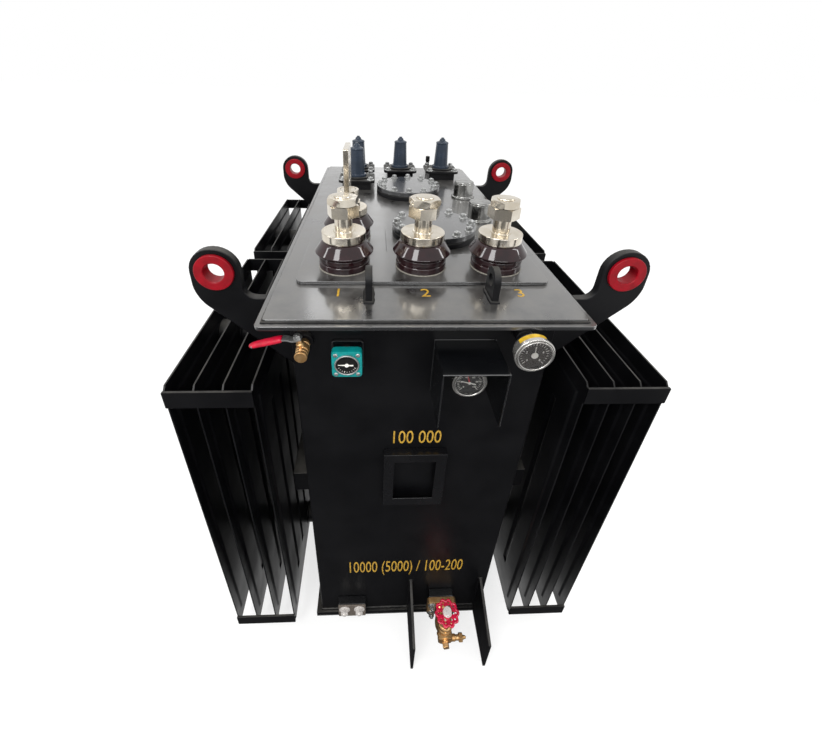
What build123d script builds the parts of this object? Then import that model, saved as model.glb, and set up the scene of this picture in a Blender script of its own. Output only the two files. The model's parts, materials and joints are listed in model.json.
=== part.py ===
from build123d import *
import os

# Oil-filled power transformer: a welded tank on a base plate, four panel radiators, low-voltage
# and high-voltage bushings on a bolted cover, lifting lugs and the fittings of the front wall.
# Millimetres, +Z up. The origin is the centre of the base plate's underside. The front wall
# faces -Y, and +X is on the right of someone who looks at it. A setback is a distance behind
# the outer face of the front wall.

# Tank
tank_width = 460.0
tank_length = 1034.0
wall = 6.0
wall_height = 1014.0
base_thickness = 20.0
base_side_overhang = 16.0
base_end_overhang = 9.0
stiffener_depth = 40.0
stiffener_height = 60.0
stiffener_bottom = 520.0
stiffener_end_gap = 34.0

# Top flange and cover
flange_side_overhang = 48.0
flange_end_overhang = 40.0
flange_thickness = 8.0
flange_corner = 10.0
cover_inset = 11.0
cover_thickness = 6.0
cover_corner = 8.0

# Low-voltage bushings
bushing_pitch = 152.4
lv_shift = 6.0
lv_row_setback = 155.0
lv_neutral_setback = 306.0
pad_thickness = 7.0
pad_front_margin = 71.0
pad_rear_margin = 56.0
pad_side_margin = 87.0
pad_inner_margin = 86.0
pad_corner = 14.0
porcelain_radius = 50.0
porcelain_foot = 14.0
porcelain_groove = 4.0
porcelain_skirt = 31.0
shed_radius = 57.0
shed_lip = 4.0
shed_rise = 21.0
disc_radius = 42.5
disc_thickness = 18.0
stud_radius = 17.0
stud_bare = 29.0
stud_tip = 7.0
nut_flats = 52.5
nut_height = 37.0
jam_nut_height = 12.0
spade_thickness = 11.0
spade_width = 88.0
spade_height = 92.0
spade_corner = 3.0
spade_hole_radius = 7.0
spade_hole_pitch = 44.0
spade_hole_height = 26.0
spade_hub_radius = 24.0
spade_hub_height = 26.0
stud_clearance = 0.15

# High-voltage bushings
hv_shift = 8.0
hv_row_setback = 918.0
hv_neutral_setback = 772.0
riser_width = 92.0
riser_height = 24.0
riser_flange_width = 118.0
riser_flange_thickness = 8.0
riser_flange_corner = 16.0
hv_collar_radius = 31.0
hv_collar_height = 12.0
hv_foot_radius = 25.0
hv_head_radius = 21.0
hv_body_height = 82.0
hv_shoulder_height = 4.0
hv_tip_radius = 9.0
hv_tip_height = 12.0

# Other fittings of the cover, with places as X and setback
handhole_radius = 101.0
handhole_bore_radius = 70.0
handhole_ring_height = 14.0
handhole_lid_height = 13.0
handhole_places = {"front": (58.0, 343.0), "rear": (23.0, 700.0)}
tap_cap_radius = 30.0
tap_cap_height = 46.0
tap_cap_edge = 4.0
tap_flange_radius = 36.0
tap_flange_height = 6.0
tap_cap_inset = 35.0
tap_cap_setbacks = {"front": 447.0, "rear": 657.0}
fill_post_radius = 8.0
fill_post_height = 56.0
fill_post_edge = 2.0
fill_post_x = 125.0
fill_post_rear_inset = 14.0
eye_thickness = 12.0
eye_width = 48.0
eye_height = 58.0
eye_hole_radius = 11.0
eye_setback = 45.0
eye_insets = {"left": 133.0, "right": 108.0}

# Lifting lugs on the side walls
lug_thickness = 16.0
lug_reach = 127.0
lug_rise = 60.0
lug_head_radius = 42.0
lug_flange_gap = 36.0
lug_neck = 20.0
lug_side_drop = 50.0
lug_shoulder = 26.0
lug_foot_drop = 150.0
lug_ring_radius = 33.0
lug_ring_proud = 5.5
lug_hole_radius = 17.5
lug_setbacks = {"front": 53.0, "rear": 818.0}

# Radiators
panel_count = 4
panel_pitch = 50.0
panel_offset = 70.0
panel_length = 520.0
panel_bottom = 45.0
panel_top_drop = 124.0
panel_front_overhang = 35.0
radiator_gap = 60.0
panel_corner = 9.0
panel_seam = 3.0
flute_count = 7
flute_width = 60.0
flute_gap = 10.0
flute_depth = 3.5
flute_end_gap = 34.0
header_radius = 30.0
header_inset = 70.0
strap_height = 37.0
strap_thickness = 5.0
strap_end = 2.0
strap_inset = 5.0
weld_gap = 0.15

# Ball valve at the top left of the front wall
ball_inset = 24.0
ball_drop = 45.0
ball_tilt = 15.0
ball_boss_radius = 15.0
ball_boss_depth = 10.0
ball_nipple_radius = 9.0
ball_nipple_length = 6.0
ball_body_flats = 22.0
ball_body_length = 27.0
ball_plug_radius = 10.5
ball_plug_length = 8.0
ball_neck_radius = 7.0
ball_neck_height = 21.0
lever_gap = 0.3
lever_thickness = 4.0
lever_width = 13.0
lever_length = 77.0
lever_flat = 9.0
lever_ramp = 9.0
lever_lift = 7.0
lever_nut_flats = 11.0
lever_nut_height = 6.0
sleeve_length = 57.0
sleeve_wall = 2.0

# Level gauge
level_inset = 96.5
level_drop = 75.5
level_plate_width = 57.0
level_plate_height = 63.0
level_plate_thickness = 8.0
level_neck_radius = 20.0
level_neck_length = 9.0
level_face_width = 52.0
level_face_height = 55.0
level_depth = 16.0
level_corner = 7.0

# Thermometer and its hood
hood_inset = 156.5
hood_drop = 48.0
hood_width = 109.0
hood_depth = 90.0
hood_height = 118.0
hood_sheet = 3.0
thermometer_drop = 95.0
thermometer_radius = 30.0
thermometer_case_depth = 26.0
thermometer_stem_radius = 12.0
thermometer_stem_length = 36.0

# Pressure gauge
gauge_inset = 62.0
gauge_drop = 28.0
gauge_radius = 32.5
gauge_case_depth = 28.0
gauge_neck_radius = 15.0
gauge_neck_length = 44.0
dial_bezel = 4.0
dial_recess = 3.0

# Nameplate frame
frame_width = 132.0
frame_height = 168.0
frame_drop = 329.0
frame_depth = 18.0
frame_sheet = 2.5
window_width = 87.0
window_height = 121.0
window_bottom = 24.0

# Earthing pad
ground_inset = 86.5
ground_width = 77.0
ground_bottom = 27.0
ground_height = 64.0
ground_depth = 20.0

# Drain valve and its guards
drain_inset = 126.0
drain_z = 85.0
drain_boss_width = 65.0
drain_boss_depth = 20.0
drain_flange_width = 78.0
drain_flange_height = 64.0
drain_flange_corner = 8.0
drain_flange_depth = 14.0
drain_body_radius = 22.0
drain_body_length = 56.0
drain_cap_flats = 36.0
drain_cap_length = 14.0
drain_plug_width = 15.0
drain_plug_length = 14.0
bonnet_setback = 80.0
bonnet_radius = 19.0
bonnet_height = 44.0
bonnet_nut_flats = 30.0
bonnet_nut_height = 16.0
cock_setback = 97.0
cock_radius = 8.0
cock_reach = 36.0
cock_nut_flats = 18.0
cock_nut_length = 10.0
cock_tip_radius = 5.0
cock_tip_length = 10.0
stem_radius = 5.0
stem_clearance = 0.15
stem_socket = 12.0
stem_bare = 28.0
stem_nut_flats = 20.0
stem_nut_height = 8.0
wheel_radius = 32.0
wheel_rim = 8.0
wheel_thickness = 9.0
wheel_web = 4.0
wheel_holes = 8
wheel_hole_radius = 4.0
wheel_hub_radius = 10.0
guard_thickness = 7.0
guard_depth = 129.0
guard_height = 171.0
guard_front_height = 120.0
guard_offsets = {"left": -86.0, "right": 107.0}

# Levels and faces that several pieces share
half_width = tank_width / 2
front_y = -tank_length / 2
wall_top = base_thickness + wall_height
flange_top = wall_top + flange_thickness
cover_top = flange_top + cover_thickness
pad_top = cover_top + pad_thickness
disc_bottom = pad_top + porcelain_skirt + shed_lip + shed_rise
disc_top = disc_bottom + disc_thickness
riser_top = cover_top + riser_height + riser_flange_thickness
panel_height = wall_top - panel_top_drop - panel_bottom
front_radiator = panel_length / 2 - panel_front_overhang
rear_radiator = front_radiator + panel_length + radiator_gap
radiator_setbacks = {"front": front_radiator, "rear": rear_radiator}
ball_x = ball_inset - half_width
ball_z = wall_top - ball_drop
ball_pivot = ball_boss_depth + ball_nipple_length + ball_body_length / 2
level_x = level_inset - half_width
level_z = wall_top - level_drop
hood_x = half_width - hood_inset
hood_top = wall_top - hood_drop
thermometer_z = wall_top - thermometer_drop
gauge_x = half_width - gauge_inset
gauge_z = wall_top - gauge_drop
ground_x = ground_inset - half_width
drain_x = half_width - drain_inset
wheel_height = bonnet_height + bonnet_nut_height + stem_bare
sides = {"left": -1, "right": 1}
UP = (Align.CENTER, Align.CENTER, Align.MIN)


def block(x, y, z):
    """A box between the low and high values of each axis."""
    return Pos(x[0], y[0], z[0]) * Box(x[1] - x[0], y[1] - y[0], z[1] - z[0], align=Align.MIN)


def forward(x, distance, z):
    """A place this far in front of the front wall, whose own +Z points out of the wall."""
    return Pos(x, front_y - distance, z) * Rot(90, 0, 0)


def on_cover(x, setback):
    return Pos(x, front_y + setback, cover_top)


def rod(radius, length):
    return Cylinder(radius, length, align=UP)


def hexagon(flats, length):
    return extrude(RegularPolygon(flats / 2, 6, major_radius=False), amount=length)


def rounded_plate(width, length, corner, thickness):
    return extrude(RectangleRounded(width, length, corner), amount=thickness)


def turned(*points):
    """A solid of revolution from radius and height pairs."""
    return revolve(Plane.XZ * make_face(Polyline(*points, close=True)), Axis.Z)


def base_plate():
    width = tank_width + 2 * base_side_overhang
    length = tank_length + 2 * base_end_overhang
    return Box(width, length, base_thickness, align=UP)


def end_wall(end):
    y = sorted((end * -front_y, end * (-front_y - wall)))
    return block((-half_width, half_width), y, (base_thickness, wall_top))


def side_wall(side):
    x = sorted((side * half_width, side * (half_width - wall)))
    return block(x, (front_y + wall, -front_y - wall), (base_thickness, wall_top))


def stiffener(side):
    x = sorted((side * half_width, side * (half_width + stiffener_depth)))
    y = (front_y + stiffener_end_gap, -front_y - stiffener_end_gap)
    return block(x, y, (stiffener_bottom, stiffener_bottom + stiffener_height))


def top_flange():
    width = tank_width + 2 * flange_side_overhang
    length = tank_length + 2 * flange_end_overhang
    ring = rounded_plate(width, length, flange_corner, flange_thickness)
    ring -= Box(tank_width - 2 * wall, tank_length - 2 * wall, flange_thickness, align=UP)
    return Pos(0, 0, wall_top) * ring


def cover_plate():
    width = tank_width + 2 * (flange_side_overhang - cover_inset)
    length = tank_length + 2 * (flange_end_overhang - cover_inset)
    return Pos(0, 0, flange_top) * rounded_plate(width, length, cover_corner, cover_thickness)


def bushing_places(row_setback, neutral_setback, shift):
    """A row of three across the cover, and the neutral one behind or before its left end."""
    places = {str(i + 2): (shift + i * bushing_pitch, row_setback) for i in (-1, 0, 1)}
    places["neutral"] = (shift - bushing_pitch, neutral_setback)
    return places


def lv_pad():
    """The L-shaped plate under the row of three bushings and the neutral one behind it."""
    left = lv_shift - bushing_pitch - pad_side_margin
    right = lv_shift + bushing_pitch + pad_side_margin
    inner = lv_shift - bushing_pitch + pad_inner_margin
    front = lv_row_setback - pad_front_margin
    step = lv_row_setback + pad_rear_margin
    rear = lv_neutral_setback + pad_rear_margin
    outline = ((left, front), (right, front), (right, step), (inner, step), (inner, rear), (left, rear))
    face = make_face(Polyline(*outline, close=True))
    return on_cover(0, 0) * extrude(fillet(face.vertices(), pad_corner), amount=pad_thickness)


def lv_insulator(place):
    shed_top = porcelain_skirt + shed_lip
    body = turned(
        (0, 0),
        (porcelain_radius, 0),
        (porcelain_radius, porcelain_foot),
        (porcelain_radius - porcelain_groove, porcelain_foot + porcelain_groove / 2),
        (porcelain_radius, porcelain_foot + porcelain_groove),
        (porcelain_radius, porcelain_skirt),
        (shed_radius, porcelain_skirt),
        (shed_radius, shed_top),
        (disc_radius, shed_top + shed_rise),
        (0, shed_top + shed_rise),
    )
    return on_cover(*place) * Pos(0, 0, pad_thickness) * body


def lv_terminal(place):
    """The tinned disc with its stud, and the nuts that clamp a conductor on the stud."""
    terminal = rod(disc_radius, disc_thickness)
    terminal += Pos(0, 0, disc_thickness) * rod(stud_radius, stud_bare + nut_height + stud_tip)
    terminal += Pos(0, 0, disc_thickness + stud_bare) * hexagon(nut_flats, nut_height)
    return on_cover(*place) * Pos(0, 0, disc_bottom - cover_top) * terminal


def neutral_terminal(place):
    """The neutral's disc and stud, with a jam nut under the hub of the spade."""
    terminal = rod(disc_radius, disc_thickness)
    terminal += Pos(0, 0, disc_thickness) * rod(stud_radius, jam_nut_height + spade_hub_height)
    terminal += Pos(0, 0, disc_thickness) * hexagon(nut_flats, jam_nut_height)
    return on_cover(*place) * Pos(0, 0, disc_bottom - cover_top) * terminal


def neutral_spade(place):
    """An upright flag with four bolt holes, on a hub that is screwed over the neutral stud."""
    flag = Rectangle(spade_width, spade_height, align=(Align.CENTER, Align.MIN))
    flag = fillet(flag.vertices().group_by(Axis.Y)[-1], spade_corner)
    for column in (-1, 1):
        for row in (0, 1):
            hole = (column * spade_hole_pitch / 2, spade_hole_height + row * spade_hole_pitch)
            flag -= Pos(*hole) * Circle(spade_hole_radius)
    hub = rod(spade_hub_radius, spade_hub_height) - rod(stud_radius + stud_clearance, spade_hub_height)
    plate = extrude(Plane.YZ.offset(-spade_thickness / 2) * flag, amount=spade_thickness)
    spade = hub + Pos(0, 0, spade_hub_height) * plate
    return on_cover(*place) * Pos(0, 0, disc_top + jam_nut_height - cover_top) * spade


def hv_risers(places):
    """Four square risers, each welded on the cover and closed by a bolted flange."""
    riser = Box(riser_width, riser_width, riser_height, align=UP)
    flange = rounded_plate(riser_flange_width, riser_flange_width, riser_flange_corner, riser_flange_thickness)
    riser += Pos(0, 0, riser_height) * flange
    return Compound([on_cover(*place) * riser for place in places])


def hv_bushing(place):
    shoulder = hv_collar_height + hv_body_height
    tip = shoulder + hv_shoulder_height
    body = turned(
        (0, 0),
        (hv_collar_radius, 0),
        (hv_collar_radius, hv_collar_height),
        (hv_foot_radius, hv_collar_height),
        (hv_head_radius, shoulder),
        (hv_tip_radius, tip),
        (hv_tip_radius, tip + hv_tip_height),
        (0, tip + hv_tip_height),
    )
    return on_cover(*place) * Pos(0, 0, riser_top - cover_top) * body


def handhole_ring(place):
    ring = rod(handhole_radius, handhole_ring_height) - rod(handhole_bore_radius, handhole_ring_height)
    return on_cover(*place) * ring


def handhole_lid(place):
    return on_cover(*place) * Pos(0, 0, handhole_ring_height) * rod(handhole_radius, handhole_lid_height)


def tap_cap(setback):
    """A stainless cap over a tap-changer shaft, on its round flange."""
    place = on_cover(half_width - tap_cap_inset, setback)
    cap = rod(tap_cap_radius, tap_cap_height)
    cap = chamfer(cap.edges().group_by(Axis.Z)[-1], tap_cap_edge)
    return place * (rod(tap_flange_radius, tap_flange_height) + Pos(0, 0, tap_flange_height) * cap)


def fill_post():
    post = rod(fill_post_radius, fill_post_height)
    place = on_cover(fill_post_x, tank_length - fill_post_rear_inset)
    return place * chamfer(post.edges().group_by(Axis.Z)[-1], fill_post_edge)


def cover_eye(x):
    """An upright lifting eye, rounded over its hole."""
    head = eye_height - eye_width / 2
    outline = Rectangle(eye_width, head, align=(Align.CENTER, Align.MIN))
    outline += Pos(0, head) * Circle(eye_width / 2)
    outline -= Pos(0, head) * Circle(eye_hole_radius)
    plate = extrude(Plane.YZ.offset(-eye_thickness / 2) * outline, amount=eye_thickness)
    return on_cover(x, eye_setback) * plate


def lifting_lug(side, setback):
    """A plate from the side wall out under the flange and up to a ring that takes a shackle."""
    step = flange_side_overhang + weld_gap
    neck = (flange_side_overhang + lug_flange_gap, flange_thickness)
    outer = lug_reach + lug_head_radius
    shoulder = (outer, lug_rise - lug_side_drop)
    arm = make_face(Polyline(
        (0, 0), (step, 0), (step, flange_thickness), neck, (lug_reach - lug_head_radius, lug_rise),
        (outer, lug_rise), shoulder, (0, -lug_foot_drop), close=True,
    ))
    for corner, radius in ((neck, lug_neck), (shoulder, lug_shoulder)):
        arm = fillet(arm.vertices().sort_by_distance(corner)[0], radius)
    outline = arm + Pos(lug_reach, lug_rise) * Circle(lug_head_radius)
    plate = extrude(outline, amount=lug_thickness / 2, both=True)
    ring = Cylinder(lug_ring_radius, lug_thickness + 2 * lug_ring_proud)
    hole = Cylinder(lug_hole_radius, lug_thickness + 2 * lug_ring_proud)
    lug = Rot(90, 0, 0) * (plate + Pos(lug_reach, lug_rise) * ring - Pos(lug_reach, lug_rise) * hole)
    if side < 0:
        lug = mirror(lug, Plane.YZ)
    return Pos(side * half_width, front_y + setback, wall_top) * lug


def radiator_panel():
    """One pressed panel: a flat seam all round and vertical flutes on both faces."""
    outline = Rectangle(panel_length, panel_height)
    outline = chamfer(outline.vertices(), panel_corner)
    sheet = extrude(outline, amount=panel_seam / 2, both=True)
    flute = Box(flute_width, panel_height - 2 * flute_end_gap, panel_seam + 2 * flute_depth)
    flute = chamfer(flute.edges().filter_by(Axis.Y), flute_depth)
    pitch = flute_width + flute_gap
    for i in range(flute_count):
        sheet += Pos((i - (flute_count - 1) / 2) * pitch, 0, 0) * flute
    for end in (-1, 1):
        sheet -= Pos(0, end * (panel_height / 2 - header_inset)) * Cylinder(header_radius + weld_gap, panel_pitch)
    return Rot(0, 0, 90) * Rot(90, 0, 0) * sheet


def radiator(side, setback):
    """Panels side by side on two headers, tied along their edges by flat straps."""
    place = Pos(side * half_width, front_y + setback, panel_bottom + panel_height / 2)
    last = panel_offset + (panel_count - 1) * panel_pitch
    panel = radiator_panel()
    solids = [Pos(side * (panel_offset + i * panel_pitch), 0, 0) * panel for i in range(panel_count)]
    strap = Box(last - panel_offset + 2 * strap_end, strap_thickness, strap_height)
    strap_x = side * (panel_offset + last) / 2
    strap_y = panel_length / 2 + weld_gap + strap_thickness / 2
    strap_z = panel_height / 2 - strap_inset - strap_height / 2
    for end in (-1, 1):
        header_z = end * (panel_height / 2 - header_inset)
        solids.append(Pos(0, 0, header_z) * Rot(0, side * 90, 0) * rod(header_radius, last))
        solids += [Pos(strap_x, edge * strap_y, end * strap_z) * strap for edge in (-1, 1)]
    return place * Compound(solids)


def ball_valve():
    """A brass ball valve on a nipple, closed by a plug, with its stem neck pointing up."""
    depth = ball_boss_depth
    valve = forward(ball_x, 0, ball_z) * rod(ball_boss_radius, ball_boss_depth)
    valve += forward(ball_x, depth, ball_z) * rod(ball_nipple_radius, ball_nipple_length)
    depth += ball_nipple_length
    valve += forward(ball_x, depth, ball_z) * hexagon(ball_body_flats, ball_body_length)
    depth += ball_body_length
    valve += forward(ball_x, depth, ball_z) * rod(ball_plug_radius, ball_plug_length)
    valve += stem_place(0) * rod(ball_neck_radius, ball_neck_height)
    return valve


def stem_place(height):
    """A place up the ball valve's stem, which leans to the left."""
    return Pos(ball_x, front_y - ball_pivot, ball_z) * Rot(0, -ball_tilt, 0) * Pos(0, 0, height)


def lever_place():
    return stem_place(ball_neck_height + lever_gap)


def lever_bar():
    """The lever, from its pivot out to the left, with a ramp up to its outer part."""
    ramp = lever_flat + lever_ramp
    lower = [(0, 0), (-lever_flat, 0), (-ramp, lever_lift), (-lever_length, lever_lift)]
    upper = [(x, z + lever_thickness) for x, z in reversed(lower)]
    side = make_face(Polyline(*lower, *upper, close=True))
    bar = extrude(Plane.XZ * side, amount=lever_width / 2, both=True)
    return bar + rod(lever_width / 2, lever_thickness)


def ball_valve_lever():
    nut = Pos(0, 0, lever_thickness) * hexagon(lever_nut_flats, lever_nut_height)
    return lever_place() * (lever_bar() + nut)


def ball_valve_sleeve():
    """The dipped sleeve over the outer part of the lever."""
    width = lever_width + 2 * sleeve_wall
    height = lever_thickness + 2 * sleeve_wall
    sleeve = Box(sleeve_length, width, height)
    sleeve = fillet(sleeve.edges().filter_by(Axis.X), sleeve_wall)
    middle = -lever_length - sleeve_wall + sleeve_length / 2
    return lever_place() * (Pos(middle, 0, lever_lift + lever_thickness / 2) * sleeve - lever_bar())


def level_gauge():
    """A square dial box on a neck, in front of a rounded plate that is welded to the wall."""
    plate = rounded_plate(level_plate_width, level_plate_height, level_corner, level_plate_thickness)
    gauge = forward(level_x, 0, level_z) * plate
    depth = level_plate_thickness
    gauge += forward(level_x, depth, level_z) * rod(level_neck_radius, level_neck_length)
    depth += level_neck_length
    box = rounded_plate(level_face_width, level_face_height, level_corner, level_depth)
    return gauge + forward(level_x, depth, level_z) * box


def thermometer_hood():
    """A folded rain hood, open in front and below."""
    x = (hood_x - hood_width / 2, hood_x + hood_width / 2)
    hood = block(x, (front_y - hood_depth, front_y), (hood_top - hood_height, hood_top))
    inner = (x[0] + hood_sheet, x[1] - hood_sheet)
    return hood - block(inner, (front_y - hood_depth, front_y), (hood_top - hood_height, hood_top - hood_sheet))


def dial_case(radius, depth):
    """A round case whose glass lies back inside its bezel."""
    return rod(radius, depth) - Pos(0, 0, depth - dial_recess) * rod(radius - dial_bezel, dial_recess)


def thermometer():
    stem = forward(hood_x, 0, thermometer_z) * rod(thermometer_stem_radius, thermometer_stem_length)
    case = dial_case(thermometer_radius, thermometer_case_depth)
    return stem + forward(hood_x, thermometer_stem_length, thermometer_z) * case


def pressure_gauge():
    neck = forward(gauge_x, 0, gauge_z) * rod(gauge_neck_radius, gauge_neck_length)
    return neck + forward(gauge_x, gauge_neck_length, gauge_z) * dial_case(gauge_radius, gauge_case_depth)


def nameplate_frame():
    """A shallow folded tray over the nameplate, with a window in its face."""
    x = (-frame_width / 2, frame_width / 2)
    y = (front_y - frame_depth, front_y)
    top = wall_top - frame_drop
    z = (top - frame_height, top)
    tray = block(x, y, z)
    behind = (front_y - frame_depth + frame_sheet, front_y)
    inner_x = (x[0] + frame_sheet, x[1] - frame_sheet)
    tray -= block(inner_x, behind, (z[0] + frame_sheet, z[1] - frame_sheet))
    low = z[0] + window_bottom
    return tray - block((-window_width / 2, window_width / 2), y, (low, low + window_height))


def ground_pad():
    x = (ground_x - ground_width / 2, ground_x + ground_width / 2)
    return block(x, (front_y - ground_depth, front_y), (ground_bottom, ground_bottom + ground_height))


def drain_boss():
    boss = Box(drain_boss_width, drain_boss_width, drain_boss_depth, align=UP)
    return forward(drain_x, 0, drain_z) * boss


def bonnet_place(height):
    return Pos(drain_x, front_y - bonnet_setback, drain_z + height)


def drain_valve():
    """A brass gate valve with an upright bonnet, an end plug and a sampling cock on its side."""
    depth = drain_boss_depth
    flange = rounded_plate(drain_flange_width, drain_flange_height, drain_flange_corner, drain_flange_depth)
    valve = forward(drain_x, depth, drain_z) * flange
    depth += drain_flange_depth
    valve += forward(drain_x, depth, drain_z) * rod(drain_body_radius, drain_body_length)
    depth += drain_body_length
    valve += forward(drain_x, depth, drain_z) * hexagon(drain_cap_flats, drain_cap_length)
    depth += drain_cap_length
    plug = Box(drain_plug_width, drain_plug_width, drain_plug_length, align=UP)
    valve += forward(drain_x, depth, drain_z) * plug
    valve += bonnet_place(0) * rod(bonnet_radius, bonnet_height)
    valve += bonnet_place(bonnet_height) * hexagon(bonnet_nut_flats, bonnet_nut_height)
    socket = bonnet_height + bonnet_nut_height - stem_socket
    valve -= bonnet_place(socket) * rod(stem_radius + stem_clearance, stem_socket)
    sideways = Pos(drain_x, front_y - cock_setback, drain_z) * Rot(0, 90, 0)
    valve += sideways * rod(cock_radius, cock_reach)
    valve += sideways * Pos(0, 0, cock_reach) * hexagon(cock_nut_flats, cock_nut_length)
    valve += sideways * Pos(0, 0, cock_reach + cock_nut_length) * rod(cock_tip_radius, cock_tip_length)
    return valve


def drain_stem():
    """The stem that the handwheel turns, from its socket in the bonnet to the nut on its end."""
    bottom = bonnet_height + bonnet_nut_height - stem_socket + stem_clearance
    top = wheel_height + wheel_thickness
    stem = bonnet_place(bottom) * rod(stem_radius, top - bottom)
    return stem + bonnet_place(top) * hexagon(stem_nut_flats, stem_nut_height)


def drain_handwheel():
    """A rim on a thin web with a ring of holes, and a hub over the stem."""
    wheel = rod(wheel_radius, wheel_thickness) - rod(wheel_radius - wheel_rim, wheel_thickness)
    wheel += rod(wheel_radius - wheel_rim / 2, wheel_web) + rod(wheel_hub_radius, wheel_thickness)
    hole_ring = (wheel_radius - wheel_rim + wheel_hub_radius) / 2
    for spot in PolarLocations(hole_ring, wheel_holes):
        wheel -= spot * rod(wheel_hole_radius, wheel_thickness)
    wheel -= rod(stem_radius + stem_clearance, wheel_thickness)
    return bonnet_place(wheel_height) * wheel


def drain_guard(x):
    """A plate on edge from the wall to the ground beside the drain valve."""
    outline = Polyline(
        (0, base_thickness), (0, guard_height), (-guard_depth, guard_front_height), (-guard_depth, 0),
        (-base_end_overhang, 0), (-base_end_overhang, base_thickness), close=True,
    )
    plate = extrude(Plane.YZ.offset(-guard_thickness / 2) * make_face(outline), amount=guard_thickness)
    return Pos(x, front_y, 0) * plate


def transformer():
    """Every node of the part by its name."""
    nodes = {"base_plate": base_plate(), "front_wall": end_wall(-1), "rear_wall": end_wall(1)}
    for name, side in sides.items():
        nodes[f"{name}_wall"] = side_wall(side)
        nodes[f"{name}_stiffener"] = stiffener(side)
    nodes.update({"top_flange": top_flange(), "cover_plate": cover_plate(), "lv_pad": lv_pad()})

    lv_places = bushing_places(lv_row_setback, lv_neutral_setback, lv_shift)
    for name, place in lv_places.items():
        nodes[f"lv_insulator_{name}"] = lv_insulator(place)
        nodes[f"lv_terminal_{name}"] = neutral_terminal(place) if name == "neutral" else lv_terminal(place)
    nodes["neutral_spade"] = neutral_spade(lv_places["neutral"])

    hv_places = bushing_places(hv_row_setback, hv_neutral_setback, hv_shift)
    nodes["hv_risers"] = hv_risers(hv_places.values())
    for name, place in hv_places.items():
        nodes[f"hv_bushing_{name}"] = hv_bushing(place)

    for name, place in handhole_places.items():
        nodes[f"handhole_ring_{name}"] = handhole_ring(place)
        nodes[f"handhole_lid_{name}"] = handhole_lid(place)
    for name, setback in tap_cap_setbacks.items():
        nodes[f"tap_cap_{name}"] = tap_cap(setback)
    nodes["fill_post"] = fill_post()
    for name, inset in eye_insets.items():
        nodes[f"cover_eye_{name}"] = cover_eye(sides[name] * (half_width - inset))

    for name, side in sides.items():
        for end, setback in lug_setbacks.items():
            nodes[f"lifting_lug_{end}_{name}"] = lifting_lug(side, setback)
        for end, setback in radiator_setbacks.items():
            nodes[f"radiator_{end}_{name}"] = radiator(side, setback)

    nodes["ball_valve"] = ball_valve()
    nodes["ball_valve_lever"] = ball_valve_lever()
    nodes["ball_valve_sleeve"] = ball_valve_sleeve()
    nodes["level_gauge"] = level_gauge()
    nodes["thermometer_hood"] = thermometer_hood()
    nodes["thermometer"] = thermometer()
    nodes["pressure_gauge"] = pressure_gauge()
    nodes["nameplate_frame"] = nameplate_frame()
    nodes["ground_pad"] = ground_pad()
    nodes["drain_boss"] = drain_boss()
    nodes["drain_valve"] = drain_valve()
    nodes["drain_stem"] = drain_stem()
    nodes["drain_handwheel"] = drain_handwheel()
    for name, offset in guard_offsets.items():
        nodes[f"drain_guard_{name}"] = drain_guard(drain_x + offset)
    return nodes


os.makedirs("parts", exist_ok=True)
for node, shape in transformer().items():
    export_step(shape, f"parts/{node}.step")
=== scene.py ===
"""Looks of an oil-filled power transformer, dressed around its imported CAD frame.

Lengths are metres in the frame's own axes: +Z up, the front wall faces -Y, and +X is on the right
of someone who looks at that wall. Every piece takes its place from a node of the frame. Profiles of
turned pieces are rows in millimetres: the radius, height and fillet of each corner, where the radius
None lies on the axis.
"""
from __future__ import annotations

import json
import logging
import math
import random
from dataclasses import dataclass
from enum import Enum
from typing import Any, Callable, Iterable, Sequence

import bmesh
import bpy
from mathutils import Matrix, Vector

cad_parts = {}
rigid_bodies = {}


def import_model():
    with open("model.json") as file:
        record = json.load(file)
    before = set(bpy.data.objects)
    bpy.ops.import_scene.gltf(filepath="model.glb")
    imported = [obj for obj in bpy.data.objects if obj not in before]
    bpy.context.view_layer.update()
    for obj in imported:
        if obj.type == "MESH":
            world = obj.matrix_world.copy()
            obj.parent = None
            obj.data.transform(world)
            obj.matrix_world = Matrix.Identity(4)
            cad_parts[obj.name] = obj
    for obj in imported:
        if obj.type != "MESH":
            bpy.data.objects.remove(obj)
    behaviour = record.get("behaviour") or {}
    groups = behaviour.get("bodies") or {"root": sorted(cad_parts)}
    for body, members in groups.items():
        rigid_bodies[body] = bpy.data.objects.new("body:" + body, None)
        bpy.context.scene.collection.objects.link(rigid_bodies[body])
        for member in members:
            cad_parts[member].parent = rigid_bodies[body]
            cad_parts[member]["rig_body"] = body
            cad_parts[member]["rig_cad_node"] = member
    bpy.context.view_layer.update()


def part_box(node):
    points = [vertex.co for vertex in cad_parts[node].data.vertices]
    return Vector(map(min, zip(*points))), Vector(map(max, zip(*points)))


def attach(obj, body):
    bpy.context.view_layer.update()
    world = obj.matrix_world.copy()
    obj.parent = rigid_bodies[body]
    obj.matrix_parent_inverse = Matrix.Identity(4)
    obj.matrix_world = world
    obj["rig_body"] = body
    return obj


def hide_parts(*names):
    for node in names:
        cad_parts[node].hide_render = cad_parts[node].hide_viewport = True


log = logging.getLogger("transformer")

Piece = bpy.types.Object
Socket = bpy.types.NodeSocket
Tree = bpy.types.NodeTree
Point = Sequence[float]
Corner = tuple[float, float, float]
Rows = tuple[tuple[float | None, float, float], ...]
Ripple = Callable[[int], float]

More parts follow.
